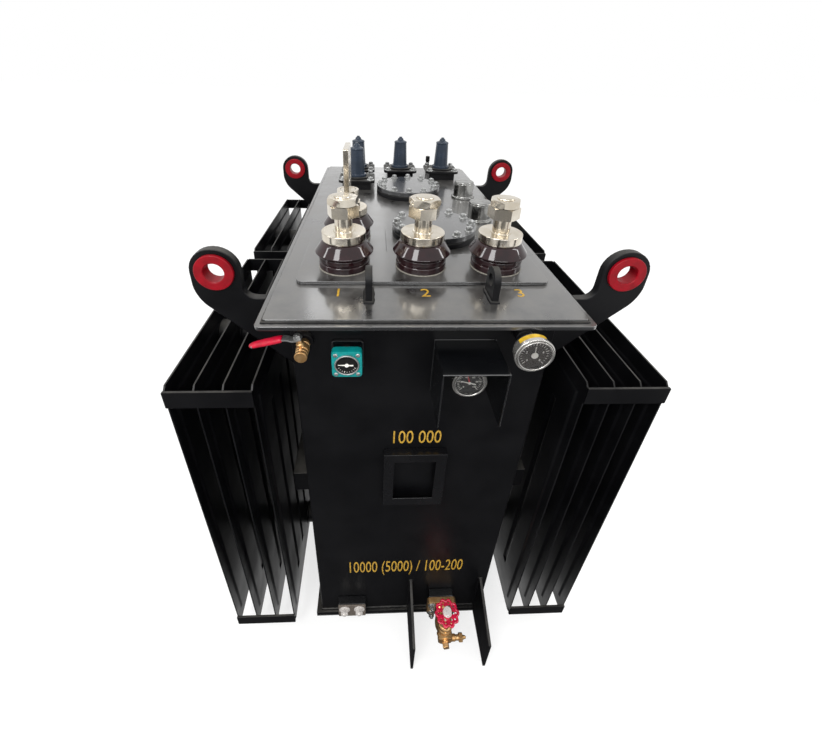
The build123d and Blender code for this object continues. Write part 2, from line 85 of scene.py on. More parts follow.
PER_METRE = 1000
SAME_PLACE = 1e-6
NEAR = 1e-5
SMOOTH_ANGLE = math.radians(38)
FLAT_ANGLE = math.radians(1)
QUARTER = math.pi / 2
PAIR = (-1, 1)
FOUR = [(x, y) for x in PAIR for y in PAIR]
BUSHINGS = ("1", "2", "3", "neutral")
CLOUD_RANGE = {"From Min": 0.36, "From Max": 0.64}
GLOSS_RANGE = {"From Min": 0.3, "From Max": 0.7}
COAT_INDEX = 1.65
# Settled dust on faces that look up, a light grey that is also a painted highlight on those faces
DUST_AND_HIGHLIGHT_COLOUR = "#a09c94"
DUST_AND_HIGHLIGHT_MM = 70.0
DUST_AND_HIGHLIGHT_RANGE = {"From Min": 0.3, "From Max": 0.75}
UP_RANGE = {"From Min": 0.5, "From Max": 0.95}
GLASS_INDEX = 1.3
GLASS_HAZE_MM = 15
GLASS_ROUGH = {"To Min": 0.0, "To Max": 0.05}
BEAD_STEP = 1.6
RIPPLE_MEAN = 0.9
RIPPLE_DEPTH = 0.1
RIPPLE_STEP = 1.9
RIPPLE_DRAW = 0.08
NUT_FACE = 0.985
NUT_CLEAR = 1.01
NUT_EDGE = 0.008
DIGIT_SHARE = 0.7
# Sockets of a Mix node: its two colours and the mixed one
MIX_FIRST, MIX_SECOND, MIXED = 6, 7, 2


def mm(rows: Rows, radius: float = 0.0, start: float = 0.0) -> list[Corner]:
    """Turn rows of millimetres into the corners of a profile in metres.

    Args:
        rows: Radius, height and fillet of each corner.
        radius: The radius that theirs is counted from.
        start: The height that theirs is counted from.

    Returns:
        The corners.
    """
    return [
        (0.0 if r is None else radius + r / PER_METRE, start + z / PER_METRE, fillet / PER_METRE)
        for r, z, fillet in rows
    ]


def drum(radius: float, height: float, rim: float = 0.0, foot: float = 0.0) -> list[Corner]:
    """Return the profile of a flat round piece, with fillets at its upper and lower rims."""
    return [(0, 0, 0), (radius, 0, foot), (radius, height, rim), (0, height, 0)]


def linear(colour: str) -> tuple[float, float, float, float]:
    """Turn an sRGB hex colour into linear light.

    Args:
        colour: Six hex digits after a hash sign.

    Returns:
        Red, green, blue and an alpha of 1.
    """
    shares = (int(colour[i:i + 2], 16) / 255 for i in (1, 3, 5))
    red, green, blue = (s / 12.92 if s <= 0.04045 else ((s + 0.055) / 1.055) ** 2.4 for s in shares)
    return red, green, blue, 1.0


def new_material(name: str, values: dict[str, Any]) -> tuple[bpy.types.Material, bpy.types.Node]:
    """Start a node material.

    Args:
        name: The material's name.
        values: Constants for its shader's inputs.

    Returns:
        The material and its shader.
    """
    material = bpy.data.materials.new(name)
    material.use_nodes = True
    shader = material.node_tree.nodes["Principled BSDF"]
    for socket, value in values.items():
        shader.inputs[socket].default_value = value
    return material, shader


def add_node(
    tree: Tree,
    kind: str,
    values: dict[Any, Any] | None = None,
    links: dict[Any, Socket] | None = None,
    **settings: Any,
) -> bpy.types.Node:
    """Add one node to a material or world.

    Args:
        tree: The node tree that takes the node.
        kind: The node's type name.
        values: Constants for its input sockets, by socket name or number.
        links: Output sockets that feed its input sockets, by socket name or number.
        **settings: Properties of the node itself.

    Returns:
        The new node.
    """
    node = tree.nodes.new(kind)
    for name, value in settings.items():
        setattr(node, name, value)
    for socket, value in (values or {}).items():
        node.inputs[socket].default_value = value
    for socket, source in (links or {}).items():
        tree.links.new(source, node.inputs[socket])
    return node


class Grain(Enum):
    """How a surface was made, which sets the pattern of its fine relief."""

    SPRAYED = "orange peel of sprayed enamel"
    FIRED = "long soft waves of a fired glaze"
    TURNED = "rings that a lathe tool leaves"
    MOULDED = "pebbles of a casting or a dipped coat"


@dataclass(frozen=True)
class Finish:
    """One real material and how its surface was made.

    The patch and the gloss spots are clouds of patch_mm, the relief has grains of grain_mm, and the dust
    share is settled dust on faces that look up, lighter than the paint, so it also paints a highlight
    there.
    """

    name: str
    colour: str
    patch: str
    patch_mm: float
    gloss: tuple[float, float]
    grain: Grain
    grain_mm: float
    relief_mm: float
    metallic: float = 0.0
    specular: float = 0.5
    coat: float = 0.0
    coat_rough: float = 0.03
    # Share of dust on faces that look up, which also paints a highlight there
    dust_and_highlight: float = 0.0
    slot: str = ""

    def material(self) -> bpy.types.Material:
        """Return the finish's material, made at its first use."""
        return bpy.data.materials.get(self.name) or self.make()

    def make(self) -> bpy.types.Material:
        """Build the node material.

        Returns:
            The new material.
        """
        material, shader = new_material(self.name, {
            "Metallic": self.metallic, "Specular IOR Level": self.specular, "Coat Weight": self.coat,
            "Coat IOR": COAT_INDEX, "Coat Roughness": self.coat_rough,
        })
        tree = material.node_tree
        place = add_node(tree, "ShaderNodeTexCoord").outputs["Object"]
        patches = {"Scale": PER_METRE / self.patch_mm, "Detail": 4.0}
        cloud = add_node(tree, "ShaderNodeTexNoise", patches, {"Vector": place}).outputs["Fac"]
        spread = add_node(tree, "ShaderNodeMapRange", CLOUD_RANGE, {"Value": cloud}).outputs["Result"]
        tones = {MIX_FIRST: linear(self.colour), MIX_SECOND: linear(self.patch)}
        tone = add_node(tree, "ShaderNodeMix", tones, {0: spread}, data_type="RGBA").outputs[MIXED]
        gloss = GLOSS_RANGE | dict(zip(("To Min", "To Max"), self.gloss))
        rough = add_node(tree, "ShaderNodeMapRange", gloss, {"Value": cloud}).outputs["Result"]
        # Dust on faces that look up, which also paints them lighter as a highlight
        if self.dust_and_highlight:
            tone, rough = self.settle_dust_and_highlight(tree, place, tone, rough)
        depth = {"Strength": 1.0, "Distance": self.relief_mm / PER_METRE}
        height = {"Height": self.relief(tree, place)}
        bump = add_node(tree, "ShaderNodeBump", depth, height).outputs["Normal"]
        for socket, source in (("Base Color", tone), ("Roughness", rough), ("Normal", bump)):
            tree.links.new(source, shader.inputs[socket])
        return material

    def relief(self, tree: Tree, place: Socket) -> Socket:
        """Add the fine height pattern of the surface.

        Args:
            tree: The material's nodes.
            place: The Object coordinates.

        Returns:
            The height, from 0 to 1.
        """
        scale = PER_METRE / self.grain_mm
        if self.grain is Grain.TURNED:
            ring = add_node(tree, "ShaderNodeAttribute", attribute_name="turning").outputs["Fac"]
            values = {"Scale": scale, "Detail": 1.0}
            lines = add_node(tree, "ShaderNodeTexNoise", values, {"W": ring}, noise_dimensions="1D")
            return lines.outputs["Fac"]
        where = {"Vector": place}
        if self.grain is Grain.MOULDED:
            pebbles = add_node(tree, "ShaderNodeTexVoronoi", {"Scale": scale}, where, feature="SMOOTH_F1")
            return pebbles.outputs["Distance"]
        waves = {"Scale": scale, "Detail": 2.0 if self.grain is Grain.SPRAYED else 0.0}
        return add_node(tree, "ShaderNodeTexNoise", waves, where).outputs["Fac"]

    def settle_dust_and_highlight(
        self, tree: Tree, place: Socket, tone: Socket, rough: Socket,
    ) -> tuple[Socket, Socket]:
        """Lay uneven dust on the faces that look up, which lightens them and so also paints a highlight
        on them.

        Args:
            tree: The material's nodes.
            place: The Object coordinates.
            tone: The clean colour.
            rough: The clean roughness.

        Returns:
            The colour with dust and painted highlight, and the dusted roughness.
        """
        normal = add_node(tree, "ShaderNodeNewGeometry").outputs["Normal"]
        up = add_node(tree, "ShaderNodeSeparateXYZ", links={"Vector": normal}).outputs["Z"]
        facing = add_node(tree, "ShaderNodeMapRange", UP_RANGE, {"Value": up}).outputs["Result"]
        drifts = {"Scale": PER_METRE / DUST_AND_HIGHLIGHT_MM, "Detail": 6.0, "Roughness": 0.65}
        drift = add_node(tree, "ShaderNodeTexNoise", drifts, {"Vector": place}).outputs["Fac"]
        most = DUST_AND_HIGHLIGHT_RANGE | {"To Max": self.dust_and_highlight}
        thin = add_node(tree, "ShaderNodeMapRange", most, {"Value": drift}).outputs["Result"]
        pair = {0: facing, 1: thin}
        share = add_node(tree, "ShaderNodeMath", links=pair, operation="MULTIPLY").outputs["Value"]
        # Mix in the light dust colour: real dust and a painted highlight on up-facing faces
        dust_and_highlight_tone, mixed = {MIX_SECOND: linear(DUST_AND_HIGHLIGHT_COLOUR)}, {0: share, MIX_FIRST: tone}
        dusted_and_highlit = add_node(tree, "ShaderNodeMix", dust_and_highlight_tone, mixed, data_type="RGBA").outputs[MIXED]
        dulled = add_node(tree, "ShaderNodeMath", links={0: share, 1: rough}, operation="ADD")
        return dusted_and_highlit, dulled.outputs["Value"]


# Satin black enamel of the walls and radiators: near black, a faint orange peel, a little dust on faces
# that look up, which also paints the highlight along the radiators' top edges
ENAMEL = Finish(
    "satin_black_enamel", "#08080a", "#0e0e10", 90, (0.30, 0.44), Grain.SPRAYED, 3.2, 0.035,
    specular=0.2, dust_and_highlight=0.2, slot="black_paint",
)
# The same enamel wiped clean on small pieces: no dust on their tops
CLEAN_ENAMEL = Finish(
    "clean_black_enamel", "#08080a", "#0d0d0f", 90, (0.20, 0.32), Grain.SPRAYED, 3.2, 0.03,
    specular=0.45, slot="black_paint",
)
# The same enamel on thin folded sheet, sprayed thicker: darker, with bright lines along its edges
SHEET_ENAMEL = Finish(
    "sheet_black_enamel", "#07080a", "#0b0c0e", 90, (0.16, 0.28), Grain.SPRAYED, 3.2, 0.02,
    specular=0.4, coat=1.0, coat_rough=0.10, slot="black_paint",
)
# Gloss black enamel of the cover and its flange: the same black under a glassy top coat, with dust on its
# top that also paints a lighter sheen there
GLOSS_ENAMEL = Finish(
    "gloss_black_enamel", "#161617", "#202021", 70, (0.22, 0.36), Grain.SPRAYED, 4.5, 0.05,
    specular=0.9, coat=1.0, coat_rough=0.14, dust_and_highlight=0.24, slot="black_paint",
)
# The lids' enamel, wiped clean: a cooler black that mirrors more of the sky
LID_ENAMEL = Finish(
    "wiped_black_enamel", "#0d0f13", "#15171b", 70, (0.20, 0.32), Grain.SPRAYED, 4.5, 0.04,
    specular=0.9, coat=0.9, coat_rough=0.12, dust_and_highlight=0.06, slot="black_paint",
)
# Brown glaze over porcelain: a glassy, deep red-brown with hard lights and long soft waves
GLAZE = Finish(
    "brown_glazed_porcelain", "#271316", "#1b0e11", 24, (0.05, 0.10), Grain.FIRED, 14, 0.12,
    specular=0.4, coat=0.1, slot="porcelain",
)
# Tin plate on turned copper: warm pale metal with fine turning rings
TIN = Finish(
    "tin_plated_copper", "#d8d1c4", "#cac1b1", 30, (0.15, 0.23), Grain.TURNED, 0.9, 0.012,
    metallic=1.0, slot="tinned",
)
# Moulded epoxy of the high-voltage bushings: dark slate blue and smooth
RESIN = Finish(
    "moulded_epoxy", "#2b3543", "#232c38", 30, (0.22, 0.34), Grain.MOULDED, 2.5, 0.02,
    specular=0.35, slot="resin",
)
# Turned stainless steel of the caps: bright and cool, rings round the axis
STAINLESS = Finish(
    "turned_stainless_steel", "#9d9d9a", "#858583", 22, (0.14, 0.26), Grain.TURNED, 0.8, 0.012,
    metallic=1.0, slot="stainless",
)
# Bright zinc plate of bolts and the lever: pale blue-white, a little cloudy
ZINC = Finish(
    "zinc_plated_steel", "#c6c7c6", "#9b9c9b", 7, (0.24, 0.40), Grain.MOULDED, 1.2, 0.02,
    metallic=0.85, slot="zinc",
)
# Pale dull zinc of the wheel's nut and the pad's bolts: light and grainy, hardly a mirror
DULL_ZINC = Finish(
    "dull_zinc_plate", "#e2deda", "#c9c4c0", 3, (0.36, 0.52), Grain.MOULDED, 1.2, 0.03,
    metallic=0.3, slot="zinc",
)
# Scoured steel of the earthing pad: warm grey, dull from the wire brush
PAD_STEEL = Finish(
    "scoured_steel", "#7c7269", "#685f56", 6, (0.40, 0.56), Grain.MOULDED, 1.4, 0.03,
    metallic=0.3, slot="stainless",
)
# Turned brass of the valves: yellow metal, a little dull from handling
BRASS = Finish(
    "machined_brass", "#dcb683", "#bd925f", 12, (0.26, 0.40), Grain.TURNED, 0.9, 0.02,
    metallic=0.85, slot="brass",
)
# Dipped vinyl sleeve: soft red skin with lumps from the dip
VINYL = Finish(
    "dipped_vinyl", "#c00c30", "#a00824", 12, (0.34, 0.52), Grain.MOULDED, 4.0, 0.35,
    specular=0.3, slot="red_sleeve",
)
# Crimson enamel of the lug rings: half gloss, thin at the edges
CRIMSON = Finish(
    "crimson_enamel", "#8c0617", "#780512", 16, (0.30, 0.44), Grain.SPRAYED, 2.4, 0.05,
    specular=0.2, slot="crimson_paint",
)
# Carmine enamel of the handwheel: a pinker red, thick and glossy over rough cast iron
CARMINE = Finish(
    "carmine_enamel", "#cc1240", "#ac0c33", 9, (0.16, 0.30), Grain.MOULDED, 5.0, 0.30,
    specular=0.5, coat=0.4, slot="crimson_paint",
)
# Teal enamel of the level gauge's box: even and half gloss
TEAL = Finish(
    "teal_enamel", "#048a89", "#037a78", 14, (0.32, 0.46), Grain.SPRAYED, 1.8, 0.05,
    specular=0.3, slot="teal_paint",
)
# Chrome plate of the dial bezels: a near mirror
CHROME = Finish(
    "chrome_plate", "#c6c4c0", "#b4b2ae", 20, (0.12, 0.22), Grain.TURNED, 1.5, 0.006,
    metallic=0.85, slot="chrome",
)
# Printed and painted faces of the dials, with the flat even tone of a screen print
DIAL_BLACK = Finish(
    "dial_print_black", "#131313", "#191919", 10, (0.42, 0.55), Grain.SPRAYED, 1.5, 0.01, specular=0.2,
)
DIAL_GREY = Finish(
    "dial_print_grey", "#3d3836", "#45403d", 12, (0.40, 0.55), Grain.SPRAYED, 1.5, 0.01, specular=0.2,
)
PRINT_WHITE = Finish("print_white", "#e9e7e0", "#dcdad2", 6, (0.45, 0.60), Grain.SPRAYED, 1.5, 0.01)
POINTER_RED = Finish("pointer_red", "#c8202b", "#b21a25", 6, (0.40, 0.55), Grain.SPRAYED, 1.5, 0.01)
LABEL_YELLOW = Finish("yellow_film", "#c9a31c", "#a98511", 9, (0.30, 0.45), Grain.SPRAYED, 2.0, 0.03)
# Gold stencil paint: a thin, slightly patchy coat on the black enamel
GOLD = Finish("gold_stencil_paint", "#c39b34", "#a17c22", 5, (0.36, 0.55), Grain.SPRAYED, 1.6, 0.04)
# Pressed gasket sheet: dull edges that show as a thin line
GASKET = Finish("cork_gasket", "#8f8b82", "#77736a", 4, (0.70, 0.90), Grain.MOULDED, 1.5, 0.10)
RUBBER = Finish("nitrile_gasket", "#1a1a19", "#242423", 6, (0.60, 0.80), Grain.MOULDED, 1.5, 0.08)


@dataclass(frozen=True)
class Glass:
    """Flat window glass of a dial: clear, with a faint mirror-like sheen."""

    name: str = "window_glass"
    slot: str = ""

    def material(self) -> bpy.types.Material:
        """Return the glass material, made at its first use."""
        return bpy.data.materials.get(self.name) or self.make()

    def make(self) -> bpy.types.Material:
        """Build the node material.

        Returns:
            The new material.
        """
        material, shader = new_material(self.name, {"Transmission Weight": 1.0, "IOR": GLASS_INDEX})
        tree = material.node_tree
        place = add_node(tree, "ShaderNodeTexCoord").outputs["Object"]
        scale = {"Scale": PER_METRE / GLASS_HAZE_MM}
        haze = add_node(tree, "ShaderNodeTexNoise", scale, {"Vector": place}).outputs["Fac"]
        rough = add_node(tree, "ShaderNodeMapRange", GLASS_ROUGH, {"Value": haze}).outputs["Result"]
        tree.links.new(rough, shader.inputs["Roughness"])
        return material


GLASS = Glass()


def clear() -> None:
    """Go back to object mode with nothing selected."""
    if bpy.context.object and bpy.context.object.mode != "OBJECT":
        bpy.ops.object.mode_set(mode="OBJECT")
    bpy.ops.object.select_all(action="DESELECT")


def take(*pieces: Piece) -> None:
    """Select some pieces alone, the first one active.

    Args:
        *pieces: The pieces to select.
    """
    clear()
    for piece in pieces:
        piece.select_set(True)
    bpy.context.view_layer.objects.active = pieces[0]


def whole() -> None:
    """In edit mode, select everything."""
    bpy.ops.mesh.select_all(action="SELECT")


def edit(piece: Piece) -> None:
    """Open one piece in edit mode with all of it selected.

    Args:
        piece: The piece to open.
    """
    take(piece)
    bpy.ops.object.mode_set(mode="EDIT")
    whole()


def named(name: str) -> Piece:
    """Name the active piece and its data.

    Args:
        name: The new name.

    Returns:
        The active piece.
    """
    piece = bpy.context.object
    piece.name = piece.data.name = name
    return piece


def discard(*pieces: Piece) -> None:
    """Remove patterns and tools that have served."""
    for piece in pieces:
        bpy.data.objects.remove(piece)


def pick(piece: Piece, mode: str, wanted: Callable[[Any], bool]) -> None:
    """In edit mode, select just the elements that a test wants.

    Args:
        piece: The piece that is open in edit mode.
        mode: VERT, EDGE or FACE.
        wanted: A test of one vertex, edge or face.
    """
    bpy.ops.mesh.select_mode(type=mode)
    bpy.ops.mesh.select_all(action="DESELECT")
    shape = bmesh.from_edit_mesh(piece.data)
    for element in {"VERT": shape.verts, "EDGE": shape.edges, "FACE": shape.faces}[mode]:
        if wanted(element):
            element.select_set(True)
    shape.select_flush_mode()
    bmesh.update_edit_mesh(piece.data)


def at(*points: Point) -> Callable[[bmesh.types.BMVert], bool]:
    """Return a test for a vertex at any of these points."""
    return lambda vertex: any((vertex.co - Vector(point)).length < NEAR for point in points)


def modify(piece: Piece, kind: str, **settings: Any) -> None:
    """Add one modifier to a piece and apply it.

    Args:
        piece: The piece to change.
        kind: The modifier's type.
        **settings: The modifier's properties.
    """
    take(piece)
    modifier = piece.modifiers.new(kind.title(), kind)
    for name, value in settings.items():
        setattr(modifier, name, value)
    bpy.ops.object.modifier_apply(modifier=modifier.name)


def cut_open(point: Point, normal: Point, **settings: bool) -> None:
    """Cut the piece that is open in edit mode along a plane."""
    whole()
    bpy.ops.mesh.bisect(plane_co=point, plane_no=normal, **settings)


def bevel(piece: Piece, width: float, segments: int, angle: float = SMOOTH_ANGLE) -> None:
    """Round the edges of a piece that bend by more than an angle."""
    modify(piece, "BEVEL", width=width, segments=segments, limit_method="ANGLE", angle_limit=angle)


def ease(piece: Piece, width: float, segments: int = 2) -> Piece:
    """Round a piece's sharp edges and shade it, with its flat faces kept flat.

    Args:
        piece: The piece to round.
        width: The width of the rounding, or 0 for shading alone.
        segments: The steps across the rounding.

    Returns:
        The same piece.
    """
    if width:
        bevel(piece, width, segments)
    take(piece)
    bpy.ops.object.shade_smooth_by_angle(angle=SMOOTH_ANGLE)
    modify(piece, "WEIGHTED_NORMAL", keep_sharp=True)
    return piece


def chain(name: str, points: Sequence[Point]) -> Piece:
    """Draw a line of vertices by extruding from point to point, and leave it open in edit mode.

    Args:
        name: The piece's name.
        points: The places of the vertices.

    Returns:
        The wire piece, all selected.
    """
    clear()
    bpy.ops.mesh.primitive_plane_add()
    piece = named(name)
    bpy.ops.object.mode_set(mode="EDIT")
    bpy.ops.mesh.select_mode(type="VERT")
    bpy.ops.mesh.merge(type="CENTER")
    bpy.ops.transform.translate(value=points[0])
    for before, after in zip(points, points[1:]):
        step = Vector(after) - Vector(before)
        bpy.ops.mesh.extrude_region_move(TRANSFORM_OT_translate={"value": step})
    whole()
    return piece


def close(piece: Piece, points: Sequence[Point]) -> None:
    """Join the two ends of an open chain."""
    pick(piece, "VERT", at(points[0], points[-1]))
    bpy.ops.mesh.edge_face_add()


def fillet(piece: Piece, corners: Iterable[tuple[Point, float]], segments: int) -> None:
    """Round the corners of an open wire or face, and select all of it.

    Args:
        piece: The piece that is open in edit mode.
        corners: Each corner with its radius.
        segments: The steps round a corner.
    """
    for point, radius in corners:
        if radius:
            pick(piece, "VERT", at(point))
            bpy.ops.mesh.bevel(offset=radius, segments=segments, affect="VERTICES")
    whole()


def put(piece: Piece, place: Matrix) -> Piece:
    """Move a piece and bake the move into its mesh.

    Args:
        piece: The piece, at the origin.
        place: Where its own axes go.

    Returns:
        The same piece.
    """
    take(piece)
    piece.matrix_world = place
    bpy.ops.object.transform_apply(location=True, rotation=True, scale=True)
    return piece


def lathe(name: str, profile: Sequence[Corner], place: Matrix, steps: int = 56) -> Piece:
    """Turn a profile about its own Z axis.

    Args:
        name: The piece's name.
        profile: Radius, height and fillet of each corner.
        place: Where the axis goes.
        steps: The facets of a full turn.

    Returns:
        The turned piece, with the distance along its profile in the attribute "turning".
    """
    piece = chain(name, [(radius, 0.0, height) for radius, height, _ in profile])
    fillet(piece, [((radius, 0.0, height), size) for radius, height, size in profile], segments=4)
    bpy.ops.mesh.spin(steps=steps, angle=2 * math.pi, center=(0, 0, 0), axis=(0, 0, 1))
    whole()
    bpy.ops.mesh.remove_doubles(threshold=SAME_PLACE)
    bpy.ops.mesh.normals_make_consistent(inside=False)
    clear()
    mark_turning(piece)
    return put(ease(piece, 0), place)


def mark_turning(piece: Piece, lathed: bool = True) -> None:
    """Store on each vertex how far along a turned profile it lies.

    Args:
        piece: The piece, about its own Z axis.
        lathed: False for a piece without the rings of a lathe tool.
    """
    rings = piece.data.attributes.new("turning", "FLOAT", "POINT")
    for spot, vertex in zip(rings.data, piece.data.vertices):
        spot.value = lathed * (math.hypot(vertex.co.x, vertex.co.y) + vertex.co.z)


def plate(
    name: str, outline: Sequence[Corner], thickness: float, place: Matrix, edge: float = 0.0008,
) -> Piece:
    """Cut a plate to an outline and round its edges.

    Args:
        name: The piece's name.
        outline: X, Y and corner radius of each corner.
        thickness: The plate's thickness, up its own Z.
        place: Where the plate's axes go.
        edge: The rounding of its edges.

    Returns:
        The plate.
    """
    piece = chain(name, [(x, y, 0.0) for x, y, _ in outline])
    bpy.ops.mesh.edge_face_add()
    fillet(piece, [((x, y, 0.0), radius) for x, y, radius in outline], segments=6)
    bpy.ops.mesh.extrude_region_move(TRANSFORM_OT_translate={"value": (0, 0, thickness)})
    whole()
    bpy.ops.mesh.normals_make_consistent(inside=False)
    clear()
    return put(ease(piece, edge), place)


def rectangle(width: float, height: float, corner: float) -> list[Corner]:
    """Return the outline of a rectangle about the origin with rounded corners."""
    return [(x * width / 2, y * height / 2, corner) for x, y in ((-1, -1), (1, -1), (1, 1), (-1, 1))]


def prism(name: str, flats: float, height: float, place: Matrix, chamfer: float = 0.09) -> Piece:
    """Shape a hexagon nut or head whose corners are turned off at both ends.

    Args:
        name: The piece's name.
        flats: The distance across its flats.
        height: Its height up its own Z.
        place: Where its axes go.
        chamfer: The turned-off height as a share of the whole, at each end.

    Returns:
        The nut.
    """
    clear()
    corner, inner, rise = flats / math.sqrt(3), flats / 2 * NUT_FACE, height * chamfer
    middle = (0, 0, height / 2)
    bpy.ops.mesh.primitive_cylinder_add(vertices=6, radius=corner, depth=height, location=middle)
    piece = named(name)
    bpy.ops.object.transform_apply(location=True)
    outer = corner * NUT_CLEAR
    profile = [(0, 0), (inner, 0), (outer, rise), (outer, height - rise), (inner, height), (0, height)]
    tool = lathe("turned_off", [(radius, z, 0) for radius, z in profile], Matrix(), steps=48)
    modify(piece, "BOOLEAN", operation="INTERSECT", object=tool, solver="EXACT")
    discard(tool)
    mark_turning(piece, lathed=False)
    return put(ease(piece, flats * NUT_EDGE, segments=1), place)


def copy(piece: Piece, name: str, place: Matrix) -> Piece:
    """Copy a piece with its own mesh and move the copy.

    Args:
        piece: The piece to copy.
        name: The copy's name.
        place: The copy's move.

    Returns:
        The copy.
    """
    take(piece)
    bpy.ops.object.duplicate()
    return put(named(name), place)


def join(name: str, pieces: Sequence[Piece]) -> Piece:
    """Make several pieces one.

    Args:
        name: The name of the whole.
        pieces: The pieces, which are used up.

    Returns:
        The whole.
    """
    take(*pieces)
    bpy.ops.object.join()
    return named(name)


def scatter(pattern: Piece, name: str, places: Iterable[Matrix]) -> Piece:
    """Copy a pattern to each place, drop it and make the copies one piece.

    Args:
        pattern: The piece to copy.
        name: The name of the set.
        places: Where the copies go.

    Returns:
        The set.
    """
    copies = [copy(pattern, f"{name}_{i}", place) for i, place in enumerate(places)]
    discard(pattern)
    return join(name, copies)


def carve(piece: Piece, tool: Piece) -> Piece:
    """Cut one piece with another.

    Args:
        piece: The piece to cut.
        tool: The shape to take away, which is used up.

    Returns:
        The cut piece.
    """
    modify(piece, "BOOLEAN", operation="DIFFERENCE", object=tool, solver="EXACT")
    discard(tool)
    return piece


def sweep(wire: Piece, radius: float, resolution: int, ripple: Ripple | None = None) -> Piece:
    """Make a wire a round bar.

    Args:
        wire: The wire.
        radius: The bar's radius.
        resolution: The steps round a quarter of the bar.
        ripple: The share of the radius at each of the wire's points.

    Returns:
        The bar.
    """
    take(wire)
    bpy.ops.object.convert(target="CURVE")
    curve = bpy.context.object.data
    curve.bevel_depth, curve.bevel_resolution, curve.use_fill_caps = radius, resolution, True
    if ripple:
        for spline in curve.splines:
            for number, spot in enumerate(spline.points):
                spot.radius = ripple(number)
    bpy.ops.object.convert(target="MESH")
    return bpy.context.object


def bead(name: str, points: Sequence[Point], radius: float, closed: bool = False) -> Piece:
    """Lay a weld bead along a line, with the ripples of its passes.

    Args:
        name: The piece's name.
        points: The corners of the seam.
        radius: The bead's radius.
        closed: Whether the seam comes back to its start.

    Returns:
        The bead.
    """
    piece = chain(name, points)
    if closed:
        close(piece, points)
    longest = BEAD_STEP * radius
    while any(e.calc_length() > longest for e in bmesh.from_edit_mesh(piece.data).edges):
        pick(piece, "EDGE", lambda e: e.calc_length() > longest)
        bpy.ops.mesh.subdivide(number_cuts=1)
    draw = random.Random(name)

    def ripple(number: int) -> float:
        """Return the share of the radius at one point of the seam."""
        wave = RIPPLE_MEAN + RIPPLE_DEPTH * math.cos(number * RIPPLE_STEP)
        return wave + draw.uniform(-RIPPLE_DRAW, RIPPLE_DRAW)

    return ease(sweep(piece, radius, resolution=2, ripple=ripple), 0)


def dress(piece: Piece, finish: Finish | Glass, *nodes: str, body: str = "tank") -> Piece:
    """Give a finished piece its material, its body and the nodes that it stands for.

    Args:
        piece: The finished piece.
        finish: Its finish.
        *nodes: CAD nodes that it replaces.
        body: The CAD body that it moves with.

    Returns:
        The same piece.
    """
    piece.data.materials.clear()
    piece.data.materials.append(finish.material())
    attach(piece, body)
    if nodes:
        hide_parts(*nodes)
    log.info("%s: %s, %d faces", piece.name, finish.name, len(piece.data.polygons))
    return piece


def eased_node(node: str, name: str, width: float, finish: Finish) -> Piece:
    """Copy a CAD node, round the copy's edges and let it stand for the node.

    Args:
        node: The CAD node.
        name: The new piece's name.
        width: The rounding of its edges.
        finish: Its finish.

    Returns:
        The new piece.
    """
    take(bpy.data.objects[node])
    bpy.ops.object.duplicate()
    piece = named(name)
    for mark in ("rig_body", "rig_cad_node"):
        del piece[mark]
    piece.parent = None
    edit(piece)
    bpy.ops.mesh.remove_doubles(threshold=NEAR)
    bpy.ops.mesh.dissolve_limited(angle_limit=FLAT_ANGLE)
    clear()
    return dress(ease(piece, width), finish, node)


def upright(x: float, y: float, z: float) -> Matrix:
    """Return a place whose axes are the frame's own."""
    return Matrix.Translation((x, y, z))


def turned(angle: float, axis: str = "Z") -> Matrix:
    """Return a turn about one of a place's own axes."""
    return Matrix.Rotation(angle, 4, axis)


def outward(x: float, y: float, z: float) -> Matrix:
    """Return a place on the front wall, whose own Z points out of it."""
    return upright(x, y, z) @ turned(QUARTER, "X")


def centre(node: str) -> Vector:
    """Return the middle of a CAD node's box."""
    low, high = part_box(node)
    return (low + high) / 2


def stand(node: str) -> tuple[Matrix, float, float]:
    """Measure how a CAD node stands.

    Args:
        node: The CAD node.

    Returns:
        The middle of its foot, its half width and its height.
    """
    low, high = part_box(node)
    middle = centre(node)
    return upright(middle.x, middle.y, low.z), (high.x - low.x) / 2, high.z - low.z


def ring_of(count: int, radius: float, place: Matrix, start: float = 0.0) -> list[Matrix]:
    """Return places evenly round the Z axis of another place."""
    turns = (start + i * 2 * math.pi / count for i in range(count))
    return [place @ turned(turn) @ upright(radius, 0, 0) for turn in turns]


def weld_round(name: str, low: Vector, high: Vector, level: float, radius: float) -> None:
    """Lay a bead at a level round a rectangle, given by its lowest and highest corners."""
    round_it = ((low.x, low.y), (high.x, low.y), (high.x, high.y), (low.x, high.y))
    dress(bead(name, [(x, y, level) for x, y in round_it], radius, closed=True), ENAMEL)


def weld_down(name: str, roots: dict[str, Point], top: float, foot: float, radius: float) -> None:
    """Run beads from the top to the foot of each root, given by the bead's name, as one piece."""
    runs = [bead(run, [(x, y, top), (x, y, foot)], radius) for run, (x, y) in roots.items()]
    dress(join(name, runs), ENAMEL)


def lettering(
    name: str, text: str, height: float, thickness: float, place: Matrix, width: float = 0.0,
) -> Piece:
    """Write plain numbers and make them a mesh.

    Args:
        name: The piece's name.
        text: The numbers.
        height: The height of the digits.
        thickness: The thickness of the paint.
        place: The middle of the line, its own Z towards the reader.
        width: The length that the line is set to, or 0 for the type's own.

    Returns:
        The numbers.
    """
    clear()
    bpy.ops.object.text_add()
    writing = bpy.context.object.data
    writing.body = text
    writing.size = height / DIGIT_SHARE
    writing.extrude = thickness / 2
    writing.align_x, writing.align_y = "CENTER", "CENTER"
    writing.resolution_u = 4
    bpy.ops.object.convert(target="MESH")
    piece = named(name)
    spread = width / piece.dimensions.x if width else 1.0
    return put(piece, place @ upright(0, 0, thickness / 2) @ Matrix.Diagonal((spread, 1, 1, 1)))


